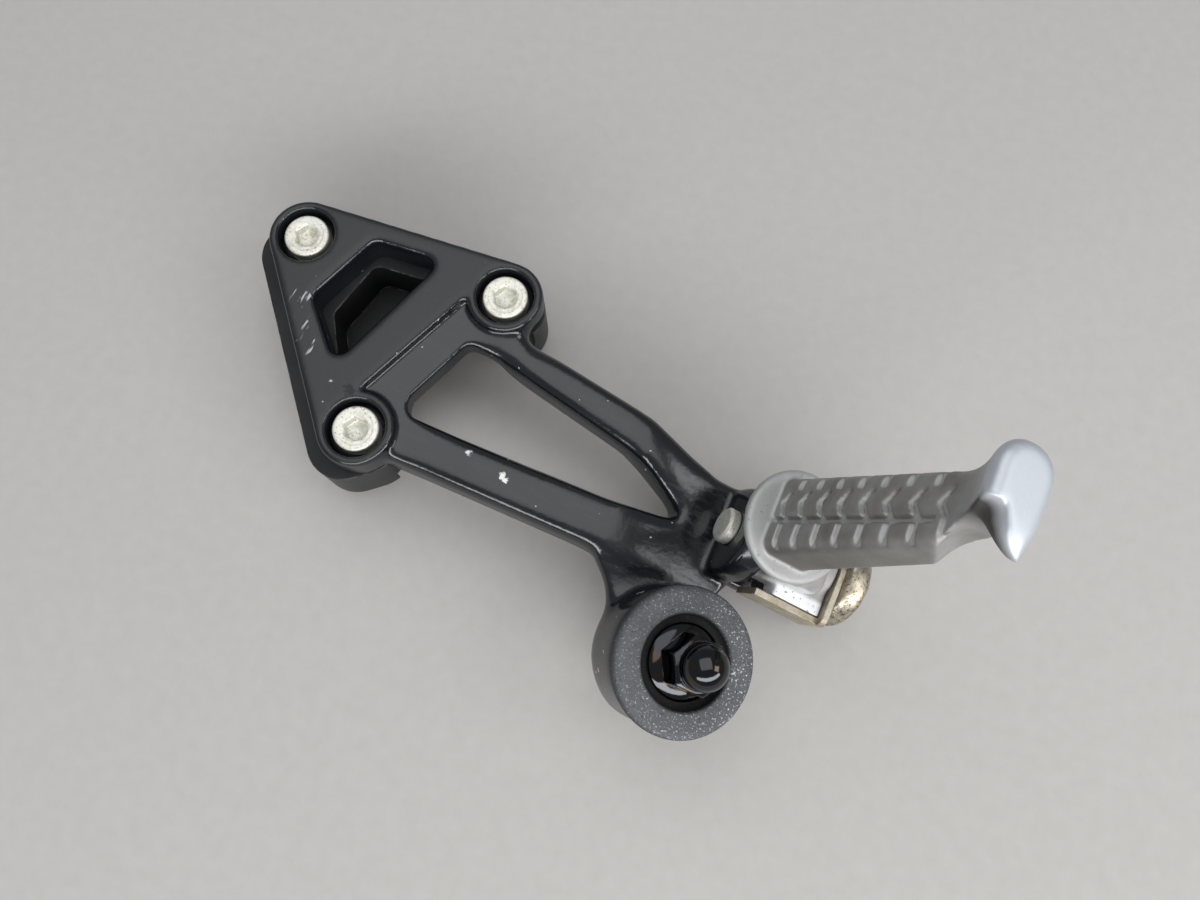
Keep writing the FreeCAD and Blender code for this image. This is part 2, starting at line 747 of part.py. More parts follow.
def make_pin():
    """The headed pivot pin with the groove for its clip."""
    body = new_body("pivot_pin")
    profile = new_sketch(body, "pin_profile")
    start = "-dims.upper_ear - dims.pin_head"
    end = f"({CLIP_SEAT} + dims.clip_depth + dims.clip_clearance)"
    draw_polygon(profile, [
        (start, "0"),
        (f"{end} + dims.pin_tail", "0"),
        (f"{end} + dims.pin_tail", "dims.pin_radius - dims.pin_edge"),
        (f"{end} + dims.pin_tail - dims.pin_edge", "dims.pin_radius"),
        (end, "dims.pin_radius"),
        (end, "dims.clip_groove"),
        (f"{CLIP_SEAT} - dims.clip_clearance", "dims.clip_groove"),
        (f"{CLIP_SEAT} - dims.clip_clearance", "dims.pin_radius"),
        ("-dims.upper_ear", "dims.pin_radius"),
        ("-dims.upper_ear", "dims.pin_head_radius"),
        (f"{start} + dims.pin_edge", "dims.pin_head_radius"),
        (start, "dims.pin_head_radius - dims.pin_edge"),
    ])
    revolve(body, profile, "H_Axis")
    return place_lower(body)


def make_pin_washer():
    inner = "dims.pin_radius + dims.fit_clearance"
    body = ring("pin_washer", "dims.pin_washer_radius", inner, "dims.pin_washer", CLEVIS_END)
    return place_lower(body)


def make_clip():
    """The open ring that holds the pin, in the pin's groove."""
    inner = "dims.clip_groove + dims.fit_clearance"
    body = ring("pin_clip", "dims.clip_radius", inner, "dims.clip_depth", CLIP_SEAT)
    mouth = new_sketch(body, "clip_mouth", "YZ_Plane", f"{CLIP_SEAT} + dims.clip_depth")
    half = "dims.clip_mouth/2"
    draw_polygon(mouth, [
        ("0", f"-{half}"),
        ("2*dims.clip_radius", f"-{half}"),
        ("2*dims.clip_radius", half),
        ("0", half),
    ])
    pocket(body, mouth, "dims.clip_depth")
    return place_lower(body)


def detent_point(turn):
    """The ball's place about the pin, after the peg has folded by turn."""
    angle = f"(dims.detent_angle - {turn})"
    return f"dims.detent_circle*cos({angle})", f"dims.detent_circle*sin({angle})"


def seat_sphere(body, sphere, x, y, z):
    """Attach a sphere feature to its body's origin plane, with its middle at x, y, z."""
    plane = next(item for item in body.Origin.OriginFeatures if item.Role == "XY_Plane")
    sphere.AttachmentSupport = [(plane, "")]
    sphere.MapMode = "FlatFace"
    for axis, expression in zip("xyz", (x, y, z)):
        sphere.setExpression(f"AttachmentOffset.Base.{axis}", expression)
    doc.recompute()


def make_detent_plate():
    """The bent steel plate under the hub: ball seats on one wing, the peg's stop on the other."""
    body = new_body("detent_plate")
    wing = new_sketch(body, "detent_wing", "YZ_Plane", PLATE_WING)
    corner = "dims.detent_bend"
    edge = f"dims.detent_stop_y - dims.detent_plate + {corner}"
    draw_hull(wing, [
        ("0", "0", "dims.detent_wing_radius"),
        (edge, f"dims.detent_wing_top - {corner}", corner),
        (edge, f"dims.detent_wing_bottom + {corner}", corner),
    ])
    pad(body, wing, "dims.detent_plate")
    stop = new_sketch(body, "stop_wing", "XZ_Plane", "-dims.detent_stop_y")
    draw_polygon(stop, [
        ("dims.detent_stop_start", "dims.detent_wing_bottom + dims.detent_bend"),
        ("dims.clevis_gap", "dims.detent_wing_bottom + dims.detent_bend"),
        ("dims.clevis_gap", "dims.detent_wing_top - dims.detent_bend"),
        ("dims.detent_stop_start", "dims.detent_wing_top - dims.detent_bend"),
    ])
    pad(body, stop, "dims.detent_plate")
    hole = new_sketch(body, "detent_pin_hole", "YZ_Plane", "dims.clevis_gap")
    draw_circle(hole, "0", "0", "dims.pin_radius + dims.run_clearance")
    pocket(body, hole, "dims.detent_plate")
    for name, turn in (("deployed", "0"), ("folded", "dims.fold_angle")):
        dimple = body.newObject("PartDesign::SubtractiveSphere", f"dimple_{name}")
        dimple.setExpression("Radius", "dims.dimple_radius")
        y, z = detent_point(turn)
        seat_sphere(body, dimple, f"{PLATE_WING} + dims.dimple_depth - dims.dimple_radius", y, z)
    return place_lower(body)


def make_ball():
    """The detent ball, sprung against the plate from a bore in the hub."""
    body = new_body("detent_ball")
    ball = body.newObject("PartDesign::AdditiveSphere", "ball")
    ball.setExpression("Radius", "dims.ball_radius")
    y, z = detent_point("0")
    seat_sphere(body, ball, f"{PLATE_WING} - dims.ball_gap - dims.ball_radius", y, z)
    return place_lower(body)


def make_spring():
    """The detent's coil spring, between the bore's floor and the ball."""
    wire = number("dims.spring_wire")
    length = number("dims.spring_length") - 2 * wire
    radius = number("dims.ball_radius + dims.ball_clearance") - wire - number("dims.ball_clearance")
    coil = Part.makeHelix(length / number("dims.spring_turns"), length, radius)
    corners = []
    for turn in range(0, 361, 60):
        angle = math.radians(turn)
        corners.append(FreeCAD.Vector(radius + wire * math.cos(angle), 0, wire * math.sin(angle)))
    section = Part.makePolygon(corners)
    shape = Part.Wire(coil.Edges).makePipeShell([section], True, True)
    spring = doc.addObject("Part::Feature", "detent_spring")
    spring.Shape = shape
    y, z = (number(part) for part in detent_point("0"))
    back = number(f"{PLATE_WING} - dims.ball_gap - 2*dims.ball_radius - dims.spring_length") + wire
    inside = FreeCAD.Placement(FreeCAD.Vector(back, y, z), FreeCAD.Rotation(FreeCAD.Vector(0, 1, 0), 90))
    origin = FreeCAD.Vector(number("dims.lower_x"), number("dims.lower_y"), number("dims.lower_z"))
    tilt = FreeCAD.Rotation(FreeCAD.Vector(0, 1, 0), number("dims.lower_tilt"))
    spring.Placement = FreeCAD.Placement(origin, tilt).multiply(inside)
    return spring


def along_bar(start, end, height):
    """A size between its value where the bar leaves the flange and its value at the bar's end."""
    return f"({start} + ({end} - {start})*({height} - {FLANGE_TOP})/(dims.bar_end - {FLANGE_TOP}))"


def cut_tread(body):
    """Chevron gaps across the bar's flat top, a staggered outer row, and one line along the bar."""
    depth = "dims.bar_left + dims.tread_depth"
    length = "2*dims.tread_depth"
    gaps = new_sketch(body, "tread_gaps", "YZ_Plane", depth)
    for i in range(int(number("dims.tread_count"))):
        middle = f"(dims.tread_start + {i}*dims.tread_pitch)"
        crest = along_bar("dims.tread_crest_y", "dims.tread_crest_end_y", middle)
        line = along_bar("dims.tread_line_y", "dims.tread_line_end_y", middle)
        edge = along_bar("dims.tread_edge_y", "dims.tread_edge_end_y", middle)
        half = "dims.tread_gap/2"
        run = [
            ("2*dims.bar_low", f"{middle} + dims.tread_arm"),
            (line, f"{middle} + dims.tread_arm"),
            (crest, middle),
            (edge, f"{middle} + dims.tread_arm"),
        ]
        near = [(y, f"{z} - {half}") for y, z in run]
        far = [(y, f"{z} + {half}") for y, z in reversed(run)]
        draw_polygon(gaps, near + far)
        if i + 1 < number("dims.tread_count"):
            row = f"({middle} + dims.tread_stagger)"
            draw_polygon(gaps, [
                (edge, f"{row} - {half}"),
                ("2*dims.bar_high", f"{row} - {half}"),
                ("2*dims.bar_high", f"{row} + {half}"),
                (edge, f"{row} + {half}"),
            ])
    pocket(body, gaps, length)
    groove = new_sketch(body, "tread_line", "YZ_Plane", depth)
    half = "dims.tread_line_width/2"
    draw_polygon(groove, [
        (f"dims.tread_line_y - {half}", FLANGE_TOP),
        (f"dims.tread_line_y + {half}", FLANGE_TOP),
        (f"dims.tread_line_end_y + {half}", "dims.bar_end"),
        (f"dims.tread_line_end_y - {half}", "dims.bar_end"),
    ])
    pocket(body, groove, length)


def cut_scoop(body):
    """The round hollow that runs slantwise up the side of the tip and leaves its lip standing out."""
    scoop = new_sketch(body, "tip_scoop")
    scoop.AttachmentOffset = FreeCAD.Placement(
        FreeCAD.Vector(), FreeCAD.Rotation(FreeCAD.Vector(0, -1, 0), 1)
    )
    scoop.setExpression("AttachmentOffset.Rotation.Angle", "-dims.scoop_lean")
    scoop.setExpression("AttachmentOffset.Base.x", "dims.scoop_reach*sin(dims.scoop_lean)")
    scoop.setExpression("AttachmentOffset.Base.z", "dims.bar_end + dims.scoop_reach*cos(dims.scoop_lean)")
    draw_circle(scoop, "dims.scoop_x", "dims.scoop_y", "dims.scoop_radius")
    pocket(body, scoop, "2*dims.scoop_reach")


def make_peg():
    """The cast peg: hub on the pin, stop lug, round flange, tapered tread bar and upturned tip."""
    body = new_body("footpeg")
    hub = new_sketch(body, "hub", "YZ_Plane", "dims.side_clearance")
    draw_circle(hub, "0", "0", "dims.hub_radius")
    pad(body, hub, f"{HUB_END} - dims.side_clearance")

    neck = new_sketch(body, "neck")
    half = "dims.neck_half"
    draw_box(neck, "dims.side_clearance", "dims.neck_end", f"-{half}", half, "dims.neck_corner")
    pad(body, neck, "dims.flange_bottom")

    lug = new_sketch(body, "lug", offset="dims.lug_bottom")
    face = "dims.detent_stop_y + dims.side_clearance"
    draw_polygon(lug, [
        ("dims.lug_start", face),
        (HUB_END, face),
        (HUB_END, "0"),
        ("dims.lug_start", "0"),
    ])
    pad(body, lug, "dims.lug_top - dims.lug_bottom")

    flange = new_sketch(body, "flange", offset="dims.flange_bottom")
    draw_circle(flange, "dims.flange_x", "dims.flange_y", "dims.flange_radius")
    pad(body, flange, "dims.flange_depth")

    round_edges(body, "dims.flange_edge", lambda edge: level(edge, number(FLANGE_TOP)) and edge.Closed)

    sides = ("left", "right", "low", "high", "corner")
    bar_end = [f"dims.bar_end_{side}" for side in sides]
    heights = {
        "bar_start": (FLANGE_TOP, [f"dims.bar_{side}" for side in sides]),
        "bar_finish": ("dims.bar_end", bar_end),
        "tip_start": ("dims.bar_end", bar_end),
        "tip_waist": (TIP_WAIST, [
            "dims.tip_waist_left", "dims.tip_waist_right", "dims.bar_end_low", "dims.bar_end_high",
            "dims.tip_waist_corner",
        ]),
        "tip_flare": (TIP_FLARE, [f"dims.tip_flare_{side}" for side in sides]),
        "tip_finish": (TIP_END, [f"dims.tip_{side}" for side in sides]),
    }
    sections = []
    for name, (height, box) in heights.items():
        section = new_sketch(body, f"{name}_section", offset=height)
        draw_box(section, *box)
        sections.append(section)
    loft(body, sections[:2])
    loft(body, sections[2:])
    round_edges(body, "dims.tip_edge", lambda edge: level(edge, number(TIP_END)))
    cut_tread(body)
    cut_scoop(body)

    bore = new_sketch(body, "pin_bore", "YZ_Plane", HUB_END)
    draw_circle(bore, "0", "0", "dims.pin_radius + dims.run_clearance")
    pocket(body, bore, HUB_END)
    ball_bore = new_sketch(body, "ball_bore", "YZ_Plane", HUB_END)
    draw_circle(ball_bore, *detent_point("0"), "dims.ball_radius + dims.ball_clearance")
    pocket(body, ball_bore, "dims.spring_length + 2*dims.ball_radius - dims.side_clearance + dims.ball_gap")
    return place_lower(body)


def make_damper():
    """The rubber bush pressed into the hanger, with a wide outer flange and a dished middle."""
    body = new_body("hanger_damper")
    profile = new_sketch(body, "damper_profile", "XZ_Plane")
    inner = "dims.collar_radius + dims.fit_clearance"
    stem = "dims.hanger_bore - dims.fit_clearance"
    rim = "dims.damper_radius"
    edge = "dims.damper_edge"
    draw_polygon(profile, [
        (inner, "dims.hanger_bottom"),
        (stem, "dims.hanger_bottom"),
        (stem, "dims.hanger_top"),
        (f"{rim} - {edge}", "dims.hanger_top"),
        (rim, f"dims.hanger_top + {edge}"),
        (rim, f"{DAMPER_TOP} - {edge}"),
        (f"{rim} - {edge}", DAMPER_TOP),
        ("dims.damper_recess_radius", DAMPER_TOP),
        ("dims.damper_recess_radius - dims.damper_draft", NUT_SEAT),
        (inner, NUT_SEAT),
    ])
    revolve(body, profile, "V_Axis")
    return place_hanger(body)


def make_collar():
    inner = "dims.bolt_radius + dims.bolt_clearance"
    length = f"{NUT_SEAT} - dims.hanger_bottom"
    collar = ring("hanger_collar", "dims.collar_radius", inner, length, "dims.hanger_bottom", "XY_Plane")
    return place_hanger(collar)


def make_hanger_washer():
    inner = "dims.bolt_radius + dims.bolt_clearance"
    seat = "dims.hanger_bottom - dims.washer_depth"
    washer = ring("hanger_washer", "dims.washer_radius", inner, "dims.washer_depth", seat, "XY_Plane")
    return place_hanger(washer)


def make_bolt():
    """The hanger's through bolt, its hexagon head behind the bracket."""
    body = new_body("hanger_bolt")
    seat = "(dims.hanger_bottom - dims.washer_depth)"
    head = new_sketch(body, "bolt_head", offset=f"{seat} - dims.bolt_head_height")
    draw_hexagon(head, "dims.bolt_head_flats")
    pad(body, head, "dims.bolt_head_height")
    shank = new_sketch(body, "bolt_shank", offset=seat)
    draw_circle(shank, "0", "0", "dims.bolt_radius")
    pad(body, shank, f"{NUT_SEAT} + dims.nut_flange + dims.nut_hex - {seat}")
    return place_hanger(body)


def make_nut():
    """The domed cap nut on its flange."""
    body = new_body("hanger_nut")
    flange = new_sketch(body, "nut_flange_outline", offset=NUT_SEAT)
    draw_circle(flange, "0", "0", "dims.nut_flange_radius")
    pad(body, flange, "dims.nut_flange")
    hexagon = new_sketch(body, "nut_hexagon", offset=f"{NUT_SEAT} + dims.nut_flange")
    draw_hexagon(hexagon, "dims.nut_flats")
    pad(body, hexagon, "dims.nut_hex")
    base = f"({NUT_SEAT} + dims.nut_flange + dims.nut_hex)"
    dome = new_sketch(body, "nut_dome", offset=base)
    draw_circle(dome, "0", "0", "dims.nut_dome_radius")
    pad(body, dome, "dims.nut_height - dims.nut_flange - dims.nut_hex")
    top = number(f"{NUT_SEAT} + dims.nut_height")
    round_edges(body, "dims.nut_round", lambda edge: level(edge, top))
    thread = new_sketch(body, "nut_thread", offset=f"{NUT_SEAT} + dims.nut_height - dims.nut_roof")
    draw_circle(thread, "0", "0", "dims.bolt_radius + dims.thread_clearance")
    pocket(body, thread, "dims.nut_height - dims.nut_roof")
    return place_hanger(body)


SUB_PARTS = [
    make_bracket(),
    make_spacer(),
    make_screws(),
    make_peg(),
    make_pin(),
    make_pin_washer(),
    make_clip(),
    make_detent_plate(),
    make_ball(),
    make_spring(),
    make_damper(),
    make_collar(),
    make_hanger_washer(),
    make_bolt(),
    make_nut(),
]
doc.recompute()

for item in doc.Objects:
    if "Invalid" in item.State or "Error" in item.State:
        raise RuntimeError(f"{item.Name} failed: {item.State}")
os.makedirs("parts", exist_ok=True)
for item in SUB_PARTS:
    if item.Shape.isNull() or not item.Shape.isValid():
        raise RuntimeError(f"{item.Label} has no valid shape")
    item.Shape.exportStep(f"parts/{item.Label}.step")
    print(f"{item.Label}: {len(item.Shape.Solids)} solids, {item.Shape.Volume:.0f} cubic mm")
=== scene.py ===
# %% [markdown]
# # A used passenger footpeg bracket
# The real thing is a black painted casting that bolts to a motorcycle's rear frame. It carries a folding
# bare-metal peg on a clevis pin, and an exhaust hanger with a rubber bush. The solids come from the
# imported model, at their real size, so this lesson is about finishes, light and the small forms that a
# foundry, a paint shop and some years of use leave.

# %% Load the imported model
import json
import math

import bmesh
import bpy
import numpy as np
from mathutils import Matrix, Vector


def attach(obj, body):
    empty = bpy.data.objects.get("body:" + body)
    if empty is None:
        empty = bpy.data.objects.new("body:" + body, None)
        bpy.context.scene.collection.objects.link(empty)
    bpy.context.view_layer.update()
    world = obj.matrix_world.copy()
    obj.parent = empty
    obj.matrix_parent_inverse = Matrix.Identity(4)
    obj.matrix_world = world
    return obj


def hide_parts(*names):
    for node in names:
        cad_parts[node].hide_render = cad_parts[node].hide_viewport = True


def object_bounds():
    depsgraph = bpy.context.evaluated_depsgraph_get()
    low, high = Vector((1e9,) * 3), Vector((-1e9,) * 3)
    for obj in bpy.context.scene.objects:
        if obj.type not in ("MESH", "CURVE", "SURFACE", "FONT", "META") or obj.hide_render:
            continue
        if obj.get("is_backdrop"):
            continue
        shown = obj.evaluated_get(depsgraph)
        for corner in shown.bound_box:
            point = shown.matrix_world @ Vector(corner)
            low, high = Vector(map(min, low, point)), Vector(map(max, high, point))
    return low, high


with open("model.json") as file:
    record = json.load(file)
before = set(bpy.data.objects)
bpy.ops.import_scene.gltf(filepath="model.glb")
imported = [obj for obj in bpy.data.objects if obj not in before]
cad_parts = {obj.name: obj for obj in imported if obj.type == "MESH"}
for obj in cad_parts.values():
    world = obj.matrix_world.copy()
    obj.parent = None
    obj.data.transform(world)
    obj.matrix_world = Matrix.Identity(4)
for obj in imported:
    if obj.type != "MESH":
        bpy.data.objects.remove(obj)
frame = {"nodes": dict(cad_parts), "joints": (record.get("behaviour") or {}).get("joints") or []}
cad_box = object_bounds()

MM = 0.001
nodes = frame["nodes"]
print("nodes:", ", ".join(sorted(nodes)))

# %% [markdown]
# ## Two frames
# The plate end of the bracket lies square to the axes, with the first screw at the origin. The peg's end
# leans, so wear and dirt there are easier to describe in the pin's own frame. The fold joint gives that
# frame: its axis is the pin, and the way out along the peg is square to the pin and to Y.

# %% The pin's frame
fold = frame["joints"][0]
PIN = Vector(fold["pos_m"])
DOWN_PIN = -Vector(fold["axis"]).normalized()
ACROSS = Vector((0, 1, 0))
OUT_PEG = DOWN_PIN.cross(ACROSS)
HANGER_DOWN, HANGER_ACROSS = -11.0, -38.9


def at_pin(down, across, out):
    """A point given in millimetres down the pin, across, and out along the peg."""
    return PIN + (DOWN_PIN * down + ACROSS * across + OUT_PEG * out) * MM


HANGER = at_pin(HANGER_DOWN, HANGER_ACROSS, 0)
print("out along the peg:", [round(v, 3) for v in OUT_PEG])
print("hanger in millimetres:", [round(v / MM, 1) for v in HANGER])

# %% [markdown]
# ## Shader maths as Python
# A material is a web of small nodes. Writing `1 - mask` is easier to read than linking a Subtract node by
# hand, so one class wraps a socket and turns Python's operators into Math nodes. Masks come from a
# clamped Map Range node, because paint and dirt end over a short distance and not at a line.

# %% Sockets that can be added and multiplied
class Shade:
    """A number that changes over a surface: a node's output, with arithmetic."""

    def __init__(self, recipe, socket):
        self.recipe = recipe
        self.socket = socket

    def maths(self, operation, *values):
        """A Math node on values."""
        return self.recipe.node("Math", {"operation": operation}, *values)[0]

    def __add__(self, other):
        return self.maths("ADD", self, other)

    def __sub__(self, other):
        return self.maths("SUBTRACT", self, other)

    def __mul__(self, other):
        return self.maths("MULTIPLY", self, other)

    def __rsub__(self, other):
        return self.maths("SUBTRACT", other, self)

    __radd__ = __add__
    __rmul__ = __mul__

    def above(self, edge, soft):
        """0 below edge - soft, 1 above edge + soft, and an even slope between."""
        span = {"From Min": edge - soft, "From Max": edge + soft}
        return self.recipe.node("MapRange", {"clamp": True}, Value=self, **span)[0]

    def below(self, edge, soft):
        """1 less the mask above the same edge."""
        return 1 - self.above(edge, soft)

    def most(self, other):
        """The larger of two masks, so that either one shows."""
        return self.maths("MAXIMUM", self, other)


print("a Shade takes + - * and gives masks with above, below and most")

# %% [markdown]
# ## One method for every node
# Every material needs the same chores: a new node, its settings, and its sockets filled with a number or
# a link. One method does all three, so the finishes further down read as lists of layers.

# %% A material's nodes
class Outputs:
    """A node's outputs, by number or by name."""

    def __init__(self, recipe, made):
        self.recipe = recipe
        self.made = made

    def __getitem__(self, key):
        return Shade(self.recipe, self.made.outputs[key])


class Recipe:
    """A material under construction: its nodes, its surface coordinates and its one Principled shader."""

    def __init__(self, name):
        self.material = bpy.data.materials.new(name)
        self.material.use_nodes = True
        self.tree = self.material.node_tree
        self.shader = self.tree.nodes["Principled BSDF"]
        self.place = self.node("TexCoord", {})["Object"]

    def node(self, kind, settings, *values, **named):
        """A new node of that kind. Settings come first, then the values or links of its sockets."""
        made = self.tree.nodes.new("ShaderNode" + kind)
        for name, value in settings.items():
            setattr(made, name, value)
        for key, value in list(enumerate(values)) + list(named.items()):
            self.feed(made.inputs[key], value)
        return Outputs(self, made)

    def feed(self, socket, value):
        """Link a Shade to a socket, or set the socket to a plain value."""
        if isinstance(value, Shade):
            self.tree.links.new(value.socket, socket)
        else:
            socket.default_value = value

    def set(self, **values):
        """Feed the shader's sockets. Underscores in a name stand for spaces."""
        for name, value in values.items():
            self.feed(self.shader.inputs[name.replace("_", " ")], value)

    def mix(self, first, second, share):
        """A colour between first and second."""
        made = self.node("Mix", {"data_type": "RGBA"}).made
        ends = [socket for socket in made.inputs if socket.type == "RGBA"]
        self.feed(made.inputs[0], share)
        self.feed(ends[0], first)
        self.feed(ends[1], second)
        return Shade(self, next(socket for socket in made.outputs if socket.type == "RGBA"))


print("a Recipe makes any shader node with one method")

# %% [markdown]
# ## Where wear happens
# Dirt and wear follow place and direction: so far along the peg, facing up, near a corner. Each of these
# is one short method that gives a number over the surface. Noise then breaks the edges of such masks up,
# so that nothing looks stencilled. Places are in metres, because that is what the object's coordinates
# hold.

# %% Patterns and masks
class Finish(Recipe):
    """A material with cloudy patterns, measures along the object, and rounded or bumped normals."""

    def noise(self, size, detail, rough=0.55, place=None):
        """Cloudy noise whose lumps are about size metres across, from 0 to 1."""
        look = {"Scale": 1 / size, "Detail": detail, "Roughness": rough}
        return self.node("TexNoise", {}, Vector=place or self.place, **look)["Fac"]

    def stretched(self, scale, turn):
        """Surface coordinates turned and then stretched, for brushed or scratched patterns."""
        return self.node("Mapping", {}, Vector=self.place, Scale=scale, Rotation=turn)["Vector"]

    def vectors(self, operation, one, other):
        """A Vector Math node on two vectors."""
        return self.node("VectorMath", {"operation": operation}, one, other)

    def along(self, direction, origin):
        """Metres along a direction from an origin."""
        moved = self.vectors("SUBTRACT", self.place, tuple(origin))["Vector"]
        return self.vectors("DOT_PRODUCT", moved, tuple(direction))["Value"]

    def far_from(self, point):
        """Metres from a point."""
        return self.vectors("DISTANCE", self.place, tuple(point))["Value"]

    def facing(self, direction):
        """How far the surface faces a direction, from -1 to 1."""
        normal = self.node("NewGeometry", {})["Normal"]
        return self.vectors("DOT_PRODUCT", normal, tuple(direction))["Value"]

    def soft_edges(self, radius):
        """The surface's normal with its corners rounded to that radius."""
        return self.node("Bevel", {"samples": 6}, Radius=radius)["Normal"]

    def corners(self, radius):
        """0 on flat faces, near 0.3 at square corners: 1 less the cosine from true to rounded normal."""
        normal = self.node("NewGeometry", {})["Normal"]
        return 1 - self.vectors("DOT_PRODUCT", normal, self.soft_edges(radius))["Value"]

    def relief(self, height, depth, edges):
        """A bumped normal on rounded edges. Depth is the height's real size in metres."""
        rounded = self.soft_edges(edges)
        bump = self.node("Bump", {}, Height=height, Strength=1.0, Distance=depth, Normal=rounded)
        self.set(Normal=bump["Normal"])


print("a Finish measures along, far_from, facing and corners, and has noise and relief")

# %% [markdown]
# ## Castings have no sharp corners
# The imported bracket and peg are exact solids, with crisp inside corners. Sand-cast and painted metal
# flows round every corner, so each casting is dressed as a softened copy. A Bevel modifier would need
# clean long edges, which a triangulated solid lacks. Instead the copy's triangles are merged and the
# solid is filled with small cubes, a voxel remesh, which gives a skin of small even faces.

# %% Skins of small faces
BRACKET_CUBE, PEG_CUBE = 0.00062, 0.00044
MERGE_WITHIN = 1e-6


def remeshed(name, node, cube):
    """A mesh of small even faces over a CAD solid, made from cubes of that size in metres."""
    shell = bmesh.new()
    shell.from_mesh(nodes[node].data)
    bmesh.ops.remove_doubles(shell, verts=shell.verts, dist=MERGE_WITHIN)
    merged = bpy.data.meshes.new(name + "_merged")
    shell.to_mesh(merged)
    shell.free()
    draft = bpy.data.objects.new(name + "_draft", merged)
    bpy.context.scene.collection.objects.link(draft)
    fill = draft.modifiers.new("fill", "REMESH")
    fill.mode = "VOXEL"
    fill.voxel_size = cube
    fill.use_smooth_shade = True
    skin = bpy.data.meshes.new_from_object(draft.evaluated_get(bpy.context.evaluated_depsgraph_get()))
    bpy.data.objects.remove(draft)
    bpy.data.meshes.remove(merged)
    skin.name = name
    print(f"{name}: {len(skin.polygons)} faces from cubes of {cube / MM:.2f} mm")
    return skin


bracket_skin = remeshed("painted_casting", "bracket", BRACKET_CUBE)
peg_skin = remeshed("peg_casting", "footpeg", PEG_CUBE)

# %% [markdown]
# ## Relaxing a skin
# A relaxed skin is what a founder's fillets and thick paint leave: flats stay flat and corners become
# round. Each pass moves every point towards the mean of its neighbours. Blender's Smooth modifier does
# the same, but its strength by place comes from painted weights. Here a function of the place gives it,
# so nothing is painted.

# %% Relaxing
def relaxed(mesh, points, passes, strength):
    """The points, each moved towards the mean of its neighbours, that many times.

    A pass moves a point by half its strength (0 to 1) of the way. The strength is a function of the
    starting points.
    """
    ends = np.empty(len(mesh.edges) * 2, dtype=np.int64)
    mesh.edges.foreach_get("vertices", ends)
    one, other = ends.reshape(-1, 2).T
    here, there = np.concatenate([one, other]), np.concatenate([other, one])
    neighbours = np.bincount(here, minlength=len(points))[:, None]
    step = 0.5 * strength(points)[:, None]
    for _ in range(passes):
        near = points[there]
        total = np.stack([np.bincount(here, near[:, k], len(points)) for k in range(3)], axis=-1)
        points = points + step * (total / neighbours - points)
    return points


def softened(skin, node, ease, steps, body):
    """A piece that stands for a CAD casting: its skin eased, then relaxed by (passes, strength) steps."""
    points = np.empty(len(skin.vertices) * 3)
    skin.vertices.foreach_get("co", points)
    points = ease(points.reshape(-1, 3))
    for passes, strength in steps:
        points = relaxed(skin, points, passes, strength)
    skin.vertices.foreach_set("co", points.ravel())
    skin.update()
    piece = bpy.data.objects.new(skin.name, skin)
    bpy.context.scene.collection.objects.link(piece)
    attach(piece, body)
    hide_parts(node)
    triangles = len(skin.loops) - 2 * len(skin.polygons)
    print(f"{piece.name}: {triangles} triangles stand for {node}")
    return piece


print("edges to relax:", len(bracket_skin.edges), "and", len(peg_skin.edges))

# %% [markdown]
# ## The bend
# Between the plate and the ears the casting bends. The solid has a kink there, and the real one an arc.
# Relaxing alone would thin the arms before it rounded so wide a bend, so the points are first moved from
# the kinked line to a parabola that touches both of its sides.

# %% The bend's arc
BEND_X, BEND_REACH = 117.1, 9.0
BEND_SLOPE = DOWN_PIN.z / DOWN_PIN.x


def eased_bend(points):
    """z moves by the gap between a kinked line and the parabola that blends its two sides."""
    past = points[:, 0] / MM - BEND_X
    kinked = BEND_SLOPE * np.maximum(past, 0)
    blended = BEND_SLOPE * (past + BEND_REACH) ** 2 / (4 * BEND_REACH)
    drop = np.where(np.abs(past) < BEND_REACH, blended - kinked, 0) * MM
    return points + drop[:, None] * np.array([0, 0, 1])


print(f"the ears' end leans by {math.degrees(math.atan(BEND_SLOPE)):.1f} degrees")

# %% [markdown]
# ## The bracket's flowing arms
# The plate keeps crisp rims, while the arms and the bend flow. So the strength of the relaxing is small
# over the plate, grows past the line through its second and third screws, and falls again round the pin
# and the hanger, where machined faces have to stay true. Two more places are relaxed longer: there the
# upper arm leaves the plate.

# %% Softened bracket
SCREWS = [(0.0, 0.0), (61.8, 5.7), (40.6, -46.6)]
# The way off the plate is square to the line through its second and third screws
OFF_PLATE = (0.927, -0.376)
PLATE_STRENGTH, EARS_CUT = 0.08, 0.85
ARMS_START, ARMS_RAMP = 9, 12
EARS_START, EARS_RAMP = -25, 8
FLOWING = [(67.5, -12.3, 6.0), (73.0, -1.5, 6.5)]
FLOW_TOP = 25.2


def in_pin_frame(points):
    """Millimetres down the pin, across, and out along the peg."""
    from_pin = points - np.array(PIN)
    return [from_pin @ np.array(way) / MM for way in (DOWN_PIN, ACROSS, OUT_PEG)]


def ramp(value, start, length):
    """0 up to the start, 1 from a length further on, and an even slope between."""
    return np.clip((value - start) / length, 0, 1)


def bracket_strength(points):
    """Little on the plate, most along the arms and the bend, less again round the pin and the hanger."""
    x, y, _ = points.T / MM
    edge_x, edge_y = SCREWS[2]
    past_plate = (x - edge_x) * OFF_PLATE[0] + (y - edge_y) * OFF_PLATE[1]
    down, _, _ = in_pin_frame(points)
    arms = ramp(past_plate, ARMS_START, ARMS_RAMP)
    ears = ramp(down, EARS_START, EARS_RAMP)
    return PLATE_STRENGTH + (1 - PLATE_STRENGTH) * arms * (1 - EARS_CUT * ears)


